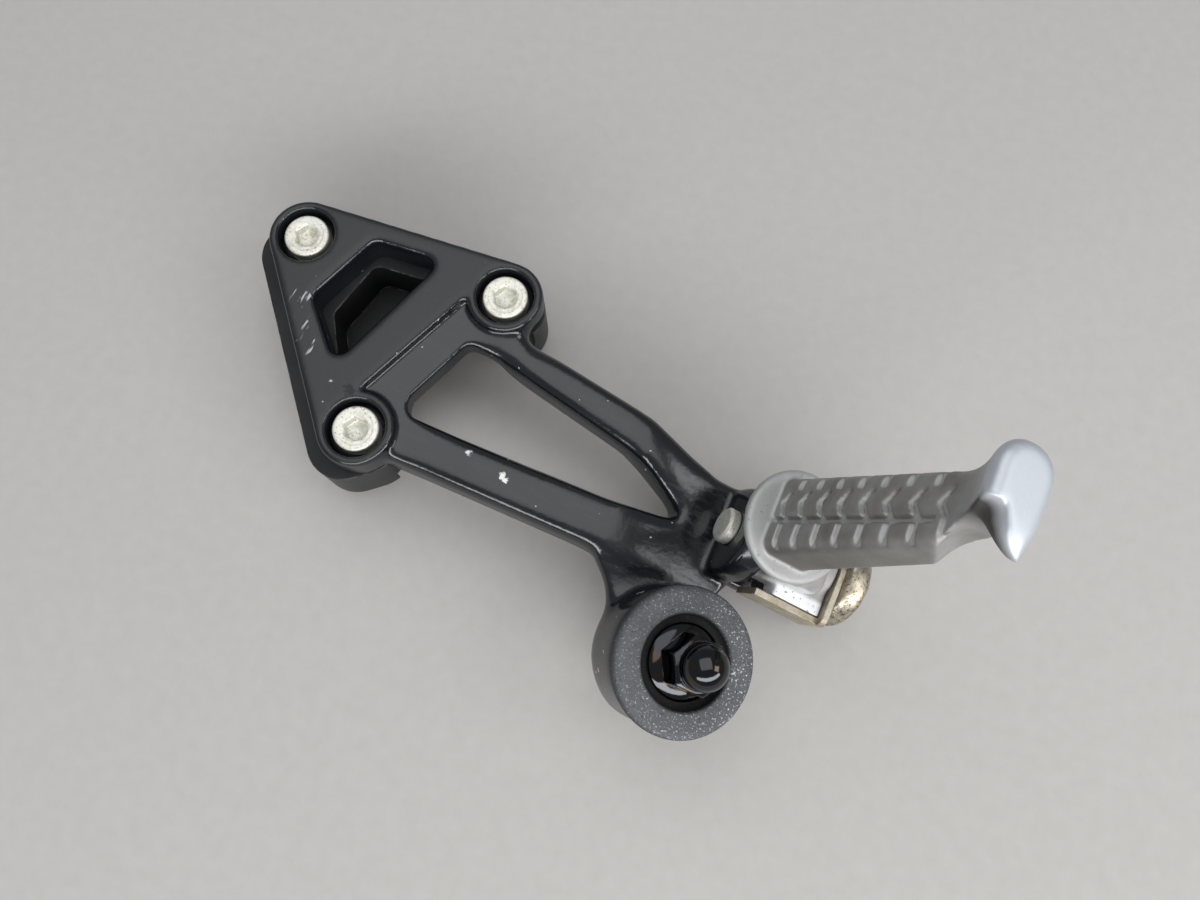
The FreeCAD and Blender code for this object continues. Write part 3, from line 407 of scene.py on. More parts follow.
def flow_strength(points):
    """A bell of some millimetres' reach round each of two places, cut off above the arm's top."""
    x, y, z = points.T / MM
    near = [np.exp(-((x - u) ** 2 + (y - v) ** 2) / reach**2) for u, v, reach in FLOWING]
    return np.maximum(*near) * ramp(-z, -FLOW_TOP, 1)


bracket_steps = [(80, bracket_strength), (160, flow_strength)]
casting = softened(bracket_skin, "bracket", eased_bend, bracket_steps, "bracket")

# %% [markdown]
# ## The peg and its lip
# The peg's edges are softer than a solid's but its tread is still crisp, so it is relaxed a little all
# over and more at its tip. The tip's lip hangs down on one side like a tongue. That side is drawn out
# first, by a share that fades with the distance from its corner, and the corner is then relaxed long, as
# boots have rounded it.

# %% Softened peg
BAR_STRENGTH, TIP_START, TIP_RAMP = 0.45, 84, 8
LIP_DROP, LIP_SHIFT = 6.8, 0.6
# Where each ramp starts and how long it is
LIP_OUT, LIP_ACROSS, LIP_DOWN = (91, 8), (-6, 6), (-10, 4)
# The solid's lower corner, down the pin, across and out
LIP_LOW = (-1.5, -3.1, 101.7)
LIP_CORNER = at_pin(LIP_LOW[0] - LIP_SHIFT, LIP_LOW[1] - LIP_DROP, LIP_LOW[2])
LIP_ROUNDING = 5.5


def peg_strength(points):
    """Even all over, with more at the tip."""
    _, _, out = in_pin_frame(points)
    return BAR_STRENGTH + (1 - BAR_STRENGTH) * ramp(out, TIP_START, TIP_RAMP)


def draped_lip(points):
    """The lip's lower side moves down and back by an eased share that is largest at its corner.

    The share is a product of three ramps, out, across and down, eased as 3 s squared less 2 s cubed.
    """
    down, across, out = in_pin_frame(points)
    share = ramp(out, *LIP_OUT) * ramp(-across, *LIP_ACROSS) * ramp(down, *LIP_DOWN)
    share = share * share * (3 - 2 * share)
    move = np.array(ACROSS) * LIP_DROP + np.array(DOWN_PIN) * LIP_SHIFT
    return points - share[:, None] * move * MM


def lip_strength(points):
    """A bell round the lip's lower corner."""
    away = np.linalg.norm(points - np.array(LIP_CORNER), axis=1) / MM
    return np.exp(-((away / LIP_ROUNDING) ** 2))


peg_steps = [(10, peg_strength), (420, lip_strength)]
peg_casting = softened(peg_skin, "footpeg", draped_lip, peg_steps, "peg")

# %% [markdown]
# ## Black paint on a casting
# The bracket wears hard blue-black gloss over a slightly lumpy casting. Its flat plate has gone satin,
# the top of the arms is scuffed lengthways, and a few flakes are gone down to bright metal. The rim of
# the lower ear has been rubbed to bare, slightly golden metal. An image could hold all this, but it would
# need a flat layout of the casting. Masks need none: a mask says where, and each layer says what.

# %% Masks of the bracket's wear
RAGGED, BLOT_EDGE = 3.4, 0.0002
# Places in metres, in the pin's frame
EAR_FROM, EAR_TO, EAR_BACK = 0.0225, 0.0302, -0.011
EAR_LOW_SIDE = -0.0095
WEB_BACK, WEB_FRONT, WEB_FROM = -0.0125, -0.0062, 0.008


def patch(finish, points, size, ragged):
    """1 inside ragged blots round points given in millimetres, each about size millimetres in radius."""
    whole = None
    for point in points:
        away = finish.far_from([v * MM for v in point]) + (ragged - 0.5) * (size * RAGGED * MM)
        blot = away.below(size * MM, BLOT_EDGE)
        whole = blot if whole is None else whole.most(blot)
    return whole


def ear_wear(paint, torn):
    """Two masks of bare metal: rubbed on the lower ear's rounded rim, and knocked on the web behind it."""
    down = paint.along(DOWN_PIN, PIN)
    out = paint.along(OUT_PEG, PIN)
    on_ear = down.above(EAR_FROM, 0.0005) * (1 - down.above(EAR_TO, 0.0002) * 0.7)
    rounded = on_ear * out.above(EAR_BACK, 0.004) * (1 - paint.facing(DOWN_PIN).above(0.90, 0.06))
    low_side = paint.along(ACROSS, PIN).below(EAR_LOW_SIDE, 0.006)
    rubbed = rounded * (torn - low_side * 0.16).above(0.36, 0.10)
    web = out.below(WEB_FRONT, 0.0006) * down.above(WEB_FROM, 0.003) * out.above(WEB_BACK, 0.0006)
    knocked = web * paint.noise(0.0055, 3).above(0.55, 0.03) * torn.above(0.38, 0.05)
    return rubbed, knocked


print(f"rubbed ear: {EAR_FROM / MM:.1f} to {EAR_TO / MM:.1f} mm down the pin")

# %% [markdown]
# ## The paint's layers
# From below: black with a grey film in clouds, a dark spot, bright scratches and flakes, knocked metal
# and the golden rim. The roughness follows the same masks. Rounded edges stay glossiest, and they catch
# the window's long highlights.

# %% Bracket paint
BARE = (0.62, 0.60, 0.56, 1)
GOLDEN = (0.56, 0.50, 0.39, 1)
BROWNED = (0.16, 0.13, 0.08, 1)
BLACK = (0.0042, 0.0052, 0.0072, 1)
FILM = (0.024, 0.028, 0.034, 1)
FLAKE = (0.82, 0.82, 0.80, 1)
SPOT = (0.004, 0.004, 0.005, 1)
PLATE_FACE = 0.0255
NICKED = [(9.0, -19.5, 26.5), (11.0, -22.8, 26.5), (13.6, -26.2, 26.5), (16.9, -30.7, 26.5)]
FLAKED = [(72.1, -39.9, 24.0), (84.6, -43.0, 24.0), (83.4, -42.3, 24.0)]
SPOTTED = [(34.6, -37.5, 26.5)]
NICK_SIZE, FLAKE_SIZE, SPOT_SIZE = 3.4, 0.85, 1.6
PAINT_IOR = 1.62


def bracket_paint():
    """Gloss black, satin on the plate, scuffed on the arms, flaked in places and rubbed at the ear."""
    paint = Finish("bracket_paint")
    peel = paint.noise(0.0016, 2)
    cloud = paint.noise(0.022, 4)
    torn = paint.noise(0.0014, 4, 0.7)
    upward = paint.facing((0, 0, 1)).above(0.9, 0.08)
    upright = 1 - paint.facing((0, 0, 1)).above(0.12, 0.12)
    plate = paint.along((0, 0, 1), (0, 0, 0)).above(PLATE_FACE, 0.0004) * upward

    streaks = paint.noise(0.0016, 3, place=paint.stretched((0.08, 1, 1), (0, 0, 0.02)))
    scuffs = streaks.above(0.56, 0.06) * cloud.above(0.47, 0.08) * upward * (1 - plate)
    scores = paint.noise(0.0022, 3, 0.7, paint.stretched((1, 0.12, 1), (0, 0, 0.7))).above(0.575, 0.03)
    scratched = patch(paint, NICKED, NICK_SIZE, cloud) * scores
    flakes = patch(paint, FLAKED, FLAKE_SIZE, torn)
    grains = paint.noise(0.0030, 2).above(0.745, 0.01)
    spot = patch(paint, SPOTTED, SPOT_SIZE, peel)
    rubbed, knocked = ear_wear(paint, torn)
    bare = rubbed.most(knocked).most(flakes)

    colour = paint.mix(BLACK, FILM, cloud.above(0.5, 0.25) * 0.3 + scuffs * 0.7)
    colour = paint.mix(colour, SPOT, spot)
    colour = paint.mix(colour, FLAKE, (scratched * 0.55).most(flakes).most(grains * 0.5))
    colour = paint.mix(colour, BARE, knocked)
    golden = paint.mix(GOLDEN, BROWNED, paint.noise(0.0007, 3).above(0.60, 0.05))
    colour = paint.mix(colour, golden, rubbed)
    rough = 0.11 + cloud.above(0.5, 0.3) * 0.05 + upward * 0.08 + plate * 0.20
    rough = rough + scuffs * 0.16 + upright * 0.2 + spot * 0.2 + bare * 0.18
    paint.set(Base_Color=colour, Metallic=rubbed.most(knocked), Roughness=rough, IOR=PAINT_IOR)
    lumps = peel + torn * 0.25 + scratched * 0.4 - bare * 0.9
    paint.relief(lumps, depth=0.000045, edges=0.0006)
    return paint


def dress(finish, *pieces):
    """Give a finish to pieces, in place of what they had."""
    for piece in pieces:
        piece.data.materials.clear()
        piece.data.materials.append(finish.material)
    print(finish.material.name, "on", ", ".join(piece.name for piece in pieces))


dress(bracket_paint(), casting)

# %% [markdown]
# ## The spacer
# Behind the plate sits a plain block in a flatter black. It gets more grit and less gloss than the
# bracket, and a paler line where its corners are rubbed. The line comes from the corners themselves, so
# no edge is marked by hand.

# %% Spacer paint
SATIN = (0.0065, 0.0070, 0.0080, 1)
DUSTY = (0.020, 0.020, 0.021, 1)
RUBBED_PAINT = (0.16, 0.15, 0.14, 1)


def spacer_paint():
    """Satin black with fine grit, and a paler rubbed line along its corners."""
    paint = Finish("spacer_paint")
    grit = paint.noise(0.0010, 3)
    cloud = paint.noise(0.02, 3)
    rubbed = paint.corners(0.0007).above(0.10, 0.06) * paint.noise(0.004, 3).above(0.52, 0.06)
    colour = paint.mix(SATIN, DUSTY, cloud.above(0.55, 0.2))
    paint.set(Base_Color=paint.mix(colour, RUBBED_PAINT, rubbed))
    paint.set(Roughness=0.38 + grit * 0.12 + paint.facing((0, 0, 1)).above(0.9, 0.05) * 0.25)
    paint.relief(grit, depth=0.00005, edges=0.0010)
    return paint


dress(spacer_paint(), nodes["rear_spacer"])

# %% [markdown]
# ## Zinc plate
# Screws, washers, the pin and the detent plate are zinc plated: pale, a little yellow, and finely pitted
# with dark specks. The detent plate has aged to a darker, browner tone. One function makes both from two
# colours each.

# %% Zinc
FRESH_ZINC, FRESH_TINGE = (0.85, 0.85, 0.79, 1), (0.80, 0.78, 0.66, 1)
AGED_ZINC, AGED_TINGE = (0.50, 0.46, 0.38, 1), (0.34, 0.28, 0.19, 1)
STAIN = (0.24, 0.22, 0.17, 1)
PLATED = ["pin_washer", "hanger_collar", "hanger_washer", "hanger_bolt", "pivot_pin"]


def zinc(name, pale, tinge):
    """Pale plated steel with a tinge in patches, dark pits and a dull skin."""
    metal = Finish(name)
    cloud = metal.noise(0.004, 4)
    fine = metal.noise(0.0005, 2)
    pits = metal.noise(0.0006, 2, place=metal.stretched((1, 1, 1), (0.5, 0.3, 0.9))).above(0.64, 0.04)
    stain = metal.noise(0.0024, 4, 0.7).above(0.60, 0.08)
    colour = metal.mix(pale, tinge, cloud.above(0.5, 0.2))
    colour = metal.mix(colour, STAIN, (stain * 0.35).most(pits * 0.7))
    metal.set(Base_Color=colour, Metallic=0.6, Roughness=0.40 + fine * 0.12 + stain * 0.1)
    metal.relief(fine - pits, depth=0.00003, edges=0.0004)
    return metal


plated = zinc("zinc", FRESH_ZINC, FRESH_TINGE)
dress(plated, *[nodes[name] for name in PLATED])
dress(zinc("aged_zinc", AGED_ZINC, AGED_TINGE), nodes["detent_plate"])

# %% [markdown]
# ## The bare peg
# The peg is a bare aluminium casting with a dull skin. Boots and road dirt have darkened the tops of its
# tread blocks, while the walls and floors of the gaps stayed pale. Its side facing -Y is painted darker
# as painted shade, and the hollow under the tip's lip is painted near black as painted shade. The round
# flange is pale too, and the upturned tip is rubbed bright. All of this goes by the distance along the
# peg and by which way a face looks.

# %% Cast aluminium
SKIN = (0.37, 0.365, 0.357, 1)
GRIME = (0.20, 0.188, 0.172, 1)
PALE = (0.50, 0.50, 0.495, 1)
RUBBED = (0.57, 0.60, 0.64, 1)
LUG = (0.82, 0.83, 0.85, 1)
# Painted shade on the peg's side facing -Y
SIDE_SHADE = (0.105, 0.098, 0.088, 1)
# Painted shade in the hollow under the tip's lip
SHADED = (0.055, 0.050, 0.046, 1)
PITTED = (0.08, 0.075, 0.07, 1)
# Places in metres, in the pin's frame
HUB_END, FLANGE_BACK, FLANGE_FRONT = 0.0136, 0.0140, 0.0167
TREAD_FROM, TREAD_TO, TREAD_BASE, GAP_FLOOR = 0.0168, 0.084, -0.0037, -0.0054
SIDE_FROM, SIDE_TO, SIDE_EDGE, LUG_EDGE = 0.017, 0.090, -0.0045, -0.0090
TIP_FROM, LIP_FROM, SCOOP_FROM, SCOOP_TO = 0.091, 0.0985, 0.0905, 0.1000


def cast_aluminium():
    """Dull grey casting: dark block tops, painted shade on the side walls and in the scoop, pale gaps and
    flange, rubbed tip.
    """
    metal = Finish("cast_aluminium")
    out = metal.along(OUT_PEG, PIN)
    down = metal.along(DOWN_PIN, PIN)
    across = metal.along(ACROSS, PIN)
    skin = metal.noise(0.0008, 3)
    cloud = metal.noise(0.009, 4)
    end_face = metal.facing(OUT_PEG)
    low_face = metal.facing(-ACROSS)

    tread = out.above(TREAD_FROM, 0.0003) * out.below(TREAD_TO, 0.003) * down.below(TREAD_BASE, 0.0003)
    floors = tread * down.above(GAP_FLOOR, 0.0003) * metal.facing(-DOWN_PIN).above(0.9, 0.04)
    gaps = floors.most(tread * (end_face * end_face).above(0.3, 0.1))
    flange = out.below(FLANGE_FRONT, 0.0003) * out.above(FLANGE_BACK, 0.0006)
    hub = out.below(HUB_END, 0.0004)
    lug = hub * across.below(LUG_EDGE, 0.0006)
    tip = out.above(TIP_FROM, 0.008)
    lip = out.above(LIP_FROM, 0.002)
    # Mask of the side facing -Y, which is painted darker as shade
    side = low_face.above(0.6, 0.25) * out.above(SIDE_FROM, 0.001) * out.below(SIDE_TO, 0.006)
    side = side * across.below(SIDE_EDGE, 0.0008)
    # Mask of the hollow under the lip, which is painted near black as shade
    scoop = low_face.above(0.25, 0.25) * out.above(SCOOP_FROM, 0.004) * out.below(SCOOP_TO, 0.0015)
    edge = metal.corners(0.0006).above(0.10, 0.08) * metal.noise(0.003, 3).above(0.42, 0.12)
    pits = metal.noise(0.0011, 3).above(0.66, 0.03)

    colour = metal.mix(SKIN, GRIME, cloud.above(0.5, 0.2) * 0.8)
    pale = (gaps * (0.65 + skin * 0.4)).most(flange * 0.9).most(hub * 0.35).most(edge * 0.6)
    colour = metal.mix(colour, PALE, pale)
    # Painted shade: the side facing -Y is darkened to stand for shade
    colour = metal.mix(colour, SIDE_SHADE, side * (1 - gaps) * 0.75)
    colour = metal.mix(colour, RUBBED, tip * (0.55 + lip * 0.45))
    # Painted shade in the scoop under the lip
    colour = metal.mix(colour, SHADED, scoop * 0.95)
    colour = metal.mix(colour, LUG, lug)
    colour = metal.mix(colour, PITTED, pits * (lug * 0.8).most(flange * 0.4))
    metal.set(Base_Color=colour, Metallic=0.55 - lug * 0.4)
    metal.set(Roughness=0.54 + skin * 0.12 - tip * 0.08 - lip * 0.06)
    metal.relief(skin * (1 - tip * 0.8) - pits * lug, depth=0.00007, edges=0.0007)
    return metal


dress(cast_aluminium(), peg_casting)

# %% [markdown]
# ## Dusty rubber
# The bush is black rubber that has gone grey with dust on its upper face and sparkles with grit, painted
# brighter on the lit side as painted light. The dished middle is painted black as painted shade. Its edge
# is a circle round the hanger's axis, so the mask compares the squared distance from that axis with the
# squared radius of the dish.

# %% Rubber
CLEAN_RUBBER = (0.016, 0.017, 0.019, 1)
DUST = (0.105, 0.110, 0.118, 1)
GLINT = (0.62, 0.64, 0.67, 1)
# Black for dark specks, and painted shade in the dished middle
SPECK_BLACK_AND_SHADE = (0.005, 0.005, 0.005, 1)
DISH_RADIUS = 0.0124


def rubber():
    """Black rubber under grey dust, with pale grit glints brightened on the lit side as painted light,
    dark specks, and painted shade in the dish.
    """
    bush = Finish("rubber")
    level, aside = bush.along(DOWN_PIN, HANGER), bush.along(ACROSS, HANGER)
    dust = bush.noise(0.007, 4)
    grain = bush.noise(0.0006, 3, 0.7)
    glints = bush.noise(0.00055, 2).above(0.63, 0.03)
    specks = bush.noise(0.0008, 2, place=bush.stretched((1, 1, 1), (0.4, 0.7, 0.2))).above(0.66, 0.05)
    # Painted light: the grit glints grow brighter down the pin from the hanger, the lit side
    lit = level.above(0.002, 0.018)
    top = bush.facing(OUT_PEG).above(0.35, 0.4)
    # Painted shade: the dished middle and its wall are painted near black
    dish_shade = (level * level + aside * aside).below(DISH_RADIUS**2, 0.000012)
    colour = bush.mix(CLEAN_RUBBER, DUST, top * (0.45 + dust * 0.7))
    colour = bush.mix(colour, GLINT, glints * top * (0.25 + lit * 0.7) * dust.above(0.40, 0.12))
    colour = bush.mix(colour, SPECK_BLACK_AND_SHADE, (specks * 0.6).most(dish_shade))
    bush.set(Base_Color=colour, Roughness=0.55 + grain * 0.25 - glints * 0.2 + dish_shade * 0.2)
    bush.relief(grain, depth=0.00012, edges=0.0010)
    return bush


bush_rubber = rubber()
print("rubber nodes:", len(bush_rubber.tree.nodes))

# %% [markdown]
# ## Black chrome
# The domed nut mirrors its surroundings darkly, which paint doesn't. So it is a metal with a dark base
# colour and a low roughness, and what shows on it is mostly the lamps.

# %% Nut's chrome
CHROME = (0.050, 0.052, 0.057, 1)
BROWN_SMEAR = (0.070, 0.053, 0.041, 1)
BARE_CORNER = (0.35, 0.33, 0.30, 1)


def nut_paint():
    """Black chrome: a dark metal that mirrors its surroundings, with brown smears and bare corners."""
    paint = Finish("nut_paint")
    smear = paint.noise(0.004, 3)
    worn = paint.corners(0.0005).above(0.12, 0.05) * paint.noise(0.002, 3).above(0.56, 0.05)
    colour = paint.mix(CHROME, BROWN_SMEAR, smear.above(0.58, 0.08))
    paint.set(Base_Color=paint.mix(colour, BARE_CORNER, worn), Metallic=1.0)
    paint.set(Roughness=0.05 + smear * 0.06 + worn * 0.2)
    paint.relief(smear, depth=0.00002, edges=0.0005)
    return paint


gloss_nut = nut_paint()
print("nut's chrome nodes:", len(gloss_nut.tree.nodes))

# %% [markdown]
# ## Dark steel and the ball
# The clip and the spring are blackened steel, bright where their corners rub, and the ball is polished
# under a film of grease. They hardly show, so each gets one short finish.

# %% Hidden steel
BLACKENED, BRIGHT_CORNER = (0.10, 0.10, 0.105, 1), (0.45, 0.45, 0.45, 1)
POLISHED, GREASE = (0.75, 0.75, 0.76, 1), (0.45, 0.42, 0.36, 1)


def dark_steel():
    """Blackened steel that is bright along its corners."""
    metal = Finish("pin_steel")
    fine = metal.noise(0.0008, 3)
    edge = metal.corners(0.0005).above(0.10, 0.08)
    metal.set(Base_Color=metal.mix(BLACKENED, BRIGHT_CORNER, edge), Metallic=1.0)
    metal.set(Roughness=0.34 + fine * 0.15)
    metal.relief(fine, depth=0.00003, edges=0.0005)
    return metal


def ball_steel():
    """Polished steel with faint grease smears."""
    metal = Finish("ball_steel")
    smear = metal.noise(0.0016, 3)
    metal.set(Base_Color=metal.mix(POLISHED, GREASE, smear.above(0.55, 0.1)))
    metal.set(Metallic=1.0, Roughness=0.08 + smear * 0.10)
    metal.relief(smear, depth=0.000004, edges=0.0002)
    return metal


dress(dark_steel(), nodes["pin_clip"], nodes["detent_spring"])
dress(ball_steel(), nodes["detent_ball"])

# %% [markdown]
# ## Turned pieces
# A nut, a screw or a bush is a profile carried round an axis. The surface is a grid: one parameter walks
# along the profile, the other goes round. Where a row is a hexagon or a thread, its radius also changes
# with the angle, so the same grid gives sockets, spanner flats and helical threads that Blender's Screw
# modifier can't.

# %% A grid round an axis
AROUND = 96
ANGLES = np.arange(AROUND) * (2 * np.pi / AROUND)
SHARP = math.radians(32)
CAP = 0.05


def hexagon(half_flats):
    """A hexagon's radius: half its flats over the cosine of the angle from the nearest flat's middle."""
    from_flat = np.mod(ANGLES, np.pi / 3) - np.pi / 6
    return half_flats / np.cos(from_flat)


def ring(radius, height):
    """One row of the grid: radii and heights, each a number or one value per angle."""
    return np.broadcast_to(radius, AROUND), np.broadcast_to(height, AROUND)


def turned(name, rows, centre, across, beside, body, finish):
    """A closed surface through rows of (radius, height) round a centre, with a flat cap on each end.

    A point is centre + radius * (cos(angle) * across + sin(angle) * beside) + height * (across x beside).
    """
    radius = np.array([row[0] for row in rows])
    height = np.array([row[1] for row in rows])
    across, beside = np.array(across), np.array(beside)
    spoke = np.cos(ANGLES)[:, None] * across + np.sin(ANGLES)[:, None] * beside
    points = radius[..., None] * spoke + height[..., None] * np.cross(across, beside)
    points = np.array(centre) + points * MM
    count = len(rows)
    index = np.arange(count * AROUND).reshape(count, AROUND)
    beyond = np.roll(index, -1, axis=1)
    quads = np.stack([index[:-1], beyond[:-1], beyond[1:], index[1:]], axis=-1).reshape(-1, 4)
    faces = quads.tolist() + [index[0][::-1].tolist(), index[-1].tolist()]
    mesh = bpy.data.meshes.new(name)
    mesh.from_pydata(points.reshape(-1, 3).tolist(), [], faces)
    mesh.shade_smooth()
    mesh.set_sharp_from_angle(angle=SHARP)
    mesh.materials.append(finish.material)
    piece = bpy.data.objects.new(name, mesh)
    bpy.context.scene.collection.objects.link(piece)
    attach(piece, body)
    print(f"{name}: {count} rows, {len(faces)} faces")
    return piece


print("points in a row of the grid:", AROUND)

# %% [markdown]
# ## The domed nut
# A flange nut with a dome is a hexagon bar whose corners are turned off by a cone, with half a ball on
# top. In the grid the hexagon's radius is cut back to the cone's radius wherever that is less. That gives
# the curved edges that a real spanner flat has.

# %% Nut
NUT_SEAT = 8.2


def nut_rows():
    """Up the bore's inside, under the flange, up the flats and over the dome."""
    bore, roof = 4.05, 17.2
    flange = [(9.6, 0), (10.0, 0.4), (10.0, 1.1), (9.7, 1.5), (8.0, 2.5)]
    flats, hex_low, hex_high = 6.7, 2.7, 11.2
    cone_top, cone_deep, cone_slope = 6.3, 0.9, math.tan(math.radians(30))
    dome, dome_low, foot_wide, foot_high = 5.9, 13.7, 0.15, 0.2
    rows = [ring(CAP, roof), ring(bore, roof), ring(bore, 0)] + [ring(*point) for point in flange]
    for height in np.concatenate([[hex_low], np.linspace(hex_high - cone_deep, hex_high, 7)]):
        cone = cone_top + (hex_high - height) / cone_slope
        rows.append(ring(np.minimum(hexagon(flats), cone), height))
    rows += [ring(dome + foot_wide, hex_high), ring(dome, hex_high + foot_high), ring(dome, dome_low)]
    for angle in np.linspace(0, np.pi / 2, 18)[1:-1]:
        rows.append(ring(dome * math.cos(angle), dome_low + dome * math.sin(angle)))
    rows.append(ring(CAP, dome_low + dome))
    return [(radius, height + NUT_SEAT) for radius, height in rows]


nut = turned("domed_nut", nut_rows(), HANGER, DOWN_PIN, ACROSS, "bracket", gloss_nut)
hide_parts("hanger_nut")

# %% [markdown]
# ## The rubber bush
# The bush is moulded, so every edge of it is round. Its rows are quarter circles at the flange's two rims
# and at the lip of the dished middle, joined by straight walls. The rows end where they start, so the two
# caps are taken off again and the seam is merged.

# %% Bush
SEAM = 1e-7


def quarter(middle_radius, middle_height, size, start, end):
    """Rows along an arc of that size about (radius, height), from one angle in degrees to another."""
    angles = np.radians(np.linspace(start, end, 7))
    return [ring(middle_radius + size * math.cos(a), middle_height + size * math.sin(a)) for a in angles]


def bush_rows():
    """Up the sleeve's hole, over the dished middle and the flange, and down the stem."""
    hole, stem, low, seat, dish, lip = 8.05, 13.95, -14.0, 8.2, 11.6, 13.1
    rim, shoulder, top = 19.49, 5.8, 10.8
    dish_round, lip_round, top_round, under_round = 0.5, 1.0, 2.2, 1.8
    rows = [ring(hole, low), ring(hole, seat), ring(dish, seat)]
    rows += quarter(dish, seat + dish_round, dish_round, -90, 0)
    rows += quarter(lip, top - lip_round, lip_round, 180, 90)
    rows += quarter(rim - top_round, top - top_round, top_round, 90, 0)
    rows += quarter(rim - under_round, shoulder + under_round, under_round, 0, -90)
    rows += [ring(stem, shoulder), ring(stem, low), ring(hole, low)]
    return rows[::-1]


def without_caps(piece):
    """Take off the two end caps of a turned piece and merge its first and last rows."""
    shell = bmesh.new()
    shell.from_mesh(piece.data)
    caps = [face for face in shell.faces if len(face.verts) > 4]
    bmesh.ops.delete(shell, geom=caps, context="FACES_ONLY")
    bmesh.ops.remove_doubles(shell, verts=shell.verts, dist=SEAM)
    bmesh.ops.recalc_face_normals(shell, faces=shell.faces)
    shell.to_mesh(piece.data)
    shell.free()


bush = turned("rubber_bush", bush_rows(), HANGER, DOWN_PIN, ACROSS, "bracket", bush_rubber)
without_caps(bush)
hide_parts("hanger_damper")

# %% [markdown]
# ## Socket screws with real threads
# A thread is a triangle wave wound round the shank: the radius depends on the height and the angle
# together. The socket is a hexagon that goes down into the head. Both are rows of the same grid, made
# once and set on three axes.

# %% Screws
ROWS_A_TURN = 14


def thread_rows(low, high, crest, depth, pitch):
    """Radius is crest less depth times a triangle wave of height / pitch - turns.

    At the low end the ridge fades in from the root.
    """
    fade_in = 0.8
    turns = ANGLES / (2 * np.pi)
    rows = []
    for height in np.linspace(low, high, int((high - low) / pitch * ROWS_A_TURN)):
        wave = np.abs(2 * np.mod(height / pitch - turns, 1) - 1)
        fade = min(1.0, (height - low) / fade_in)
        rows.append(ring(crest - depth * (1 - fade * (1 - wave)), height))
    return rows


def screw_rows():
    """From the point up the thread and shank, over the head and down into its socket."""
    point, point_radius, drill_end = -8.8, 3.0, 21.6
    shank_and_head = [(3.4, 0.05), (3.4, 20.5), (6.3, 20.5), (6.5, 20.7), (6.5, 24.8)]
    head, top, head_round = 6.5, 25.5, 0.6
    dished_top = [(5.0, 25.5), (4.9, 25.42), (3.75, 25.42)]
    socket = [(3.0, 25.0), (2.96, 22.6), (2.6, 22.3)]
    rows = [ring(CAP, point), ring(point_radius, point)]
    rows += thread_rows(low=-8.2, high=0.0, crest=3.9, depth=0.62, pitch=1.25)
    rows += [ring(*corner) for corner in shank_and_head]
    rows += quarter(head - head_round, top - head_round, head_round, 0, 90)
    rows += [ring(*corner) for corner in dished_top]
    rows += [ring(hexagon(half_flats), height) for half_flats, height in socket]
    return rows + [ring(CAP, drill_end)]


screw_profile = screw_rows()
for letter, (x, y) in zip("abc", SCREWS):
    name, axis = f"socket_screw_{letter}", (x * MM, y * MM, 0)
    screw = turned(name, screw_profile, axis, (1, 0, 0), (0, 1, 0), "bracket", plated)
    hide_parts("mounting_screws")

# %% [markdown]
# ## The floor
# A plain pale floor lies at the object's lowest point. It only has to catch soft shadows, so it is one
# square with a faint grain, large enough that no edge of it shows from the camera's place.

# %% Floor
FLOOR_DARK, FLOOR_LIGHT = (0.45, 0.435, 0.415, 1), (0.51, 0.495, 0.475, 1)
FLOOR_HALF = 1.5


def floor_finish():
    """A dull warm grey with a faint grain."""
    pale = Finish("floor_pale")
    pale.set(Base_Color=pale.mix(FLOOR_DARK, FLOOR_LIGHT, pale.noise(0.004, 4)), Roughness=0.8)
    return pale


low = cad_box[0].z
square = [(x * FLOOR_HALF, y * FLOOR_HALF, low) for x, y in ((-1, -1), (1, -1), (1, 1), (-1, 1))]
floor_mesh = bpy.data.meshes.new("floor")
floor_mesh.from_pydata(square, [], [(0, 1, 2, 3)])
floor = bpy.data.objects.new("floor", floor_mesh)
bpy.context.scene.collection.objects.link(floor)
dress(floor_finish(), floor)
floor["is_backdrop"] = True

# %% [markdown]
# ## Light
# Gloss black shows only what it mirrors. A soft ceiling lamp fills the tops, and a long narrow window on
# the camera's side draws the bright lines along every rounded edge. A small lamp on the right lifts the
# peg, and a dim bluish world keeps the shadows open.

# %% Lamps and world
MIDDLE = (cad_box[0] + cad_box[1]) / 2
# Name, place from the object's middle, width, height and power
LAMPS = [
    ("ceiling", (-0.12, 0.20, 0.9), 1.0, 1.0, 4.2),
    ("window", (0.54, -0.755, 0.55), 2.4, 0.32, 16.0),
    ("right", (0.8, 0.2, 0.7), 0.4, 0.4, 1.6),
]
SKY, SKY_STRENGTH = (0.80, 0.84, 0.90, 1), 0.30


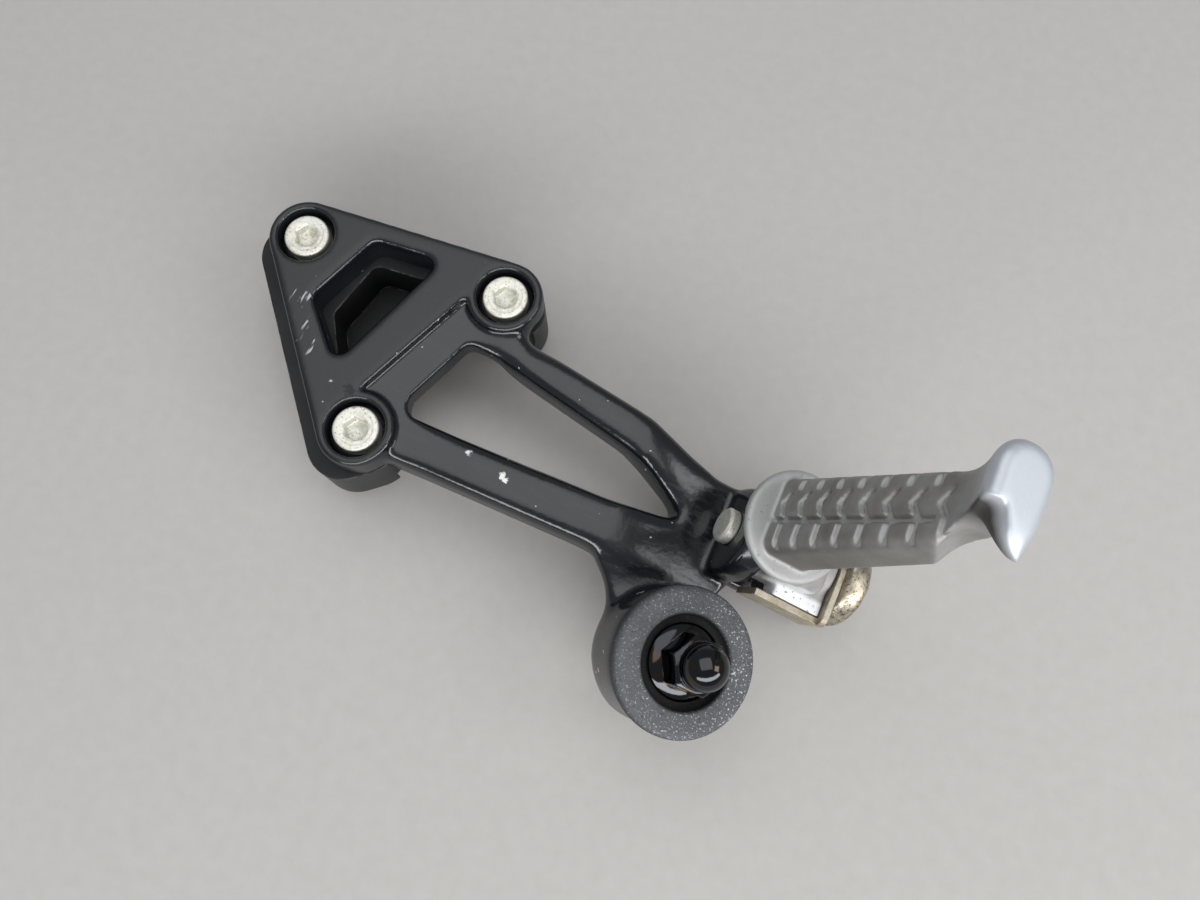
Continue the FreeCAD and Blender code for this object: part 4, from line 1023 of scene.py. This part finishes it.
def lamp(name, away, wide, tall, power):
    """A soft lamp, wide by tall, that looks at the object's middle from a way off, in metres and watts."""
    data = bpy.data.lights.new(name, "AREA")
    data.shape = "RECTANGLE"
    data.size = wide
    data.size_y = tall
    data.energy = power
    place = MIDDLE + Vector(away)
    obj = bpy.data.objects.new(name, data)
    obj.location = place
    obj.rotation_euler = (MIDDLE - place).to_track_quat("-Z", "Y").to_euler()
    bpy.context.scene.collection.objects.link(obj)
    print(f"{name}: {power} W, {wide} by {tall} m")


for settings in LAMPS:
    lamp(*settings)

world = bpy.data.worlds.new("studio")
world.use_nodes = True
background = world.node_tree.nodes["Background"]
background.inputs["Color"].default_value = SKY
background.inputs["Strength"].default_value = SKY_STRENGTH
bpy.context.scene.world = world
bpy.context.scene.view_settings.view_transform = "Standard"

# %% [markdown]
# ## The camera
# It stands where the photograph's did: nearly overhead and quite close, so the peg's tip looms towards
# it. A pinhole camera fitted to the three screw heads gave its place. It is set by angles here, and needs
# no target.

# %% Camera
CAMERA_PLACE = Vector((130.9, -83.8, 264.5)) * MM
CAMERA_AZIMUTH = math.radians(23.7)
CAMERA_ELEVATION = math.radians(75.0)
LENS, SENSOR, NEAREST = 27.03, 36.0, 0.005

lens = bpy.data.cameras.new("camera")
lens.sensor_width = SENSOR
lens.lens = LENS
lens.clip_start = NEAREST
camera = bpy.data.objects.new("camera", lens)
camera.location = CAMERA_PLACE
camera.rotation_euler = (math.pi / 2 - CAMERA_ELEVATION, 0, CAMERA_AZIMUTH)
bpy.context.scene.collection.objects.link(camera)
bpy.context.scene.camera = camera
print(f"camera {CAMERA_PLACE.z:.3f} m up, lens {LENS} mm")

# %% [markdown]
# ## The last measure
# Softening and rounding mustn't make the object larger than its solids. The box of what shows is written
# beside the box of the solids, so the two can be compared.

# %% Finish
boxes = {"cad": [list(c) for c in cad_box], "visual": [list(c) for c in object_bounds()]}
for kind, (least, most) in boxes.items():
    print(kind, "size in millimetres:", [round((b - a) / MM, 2) for a, b in zip(least, most)])
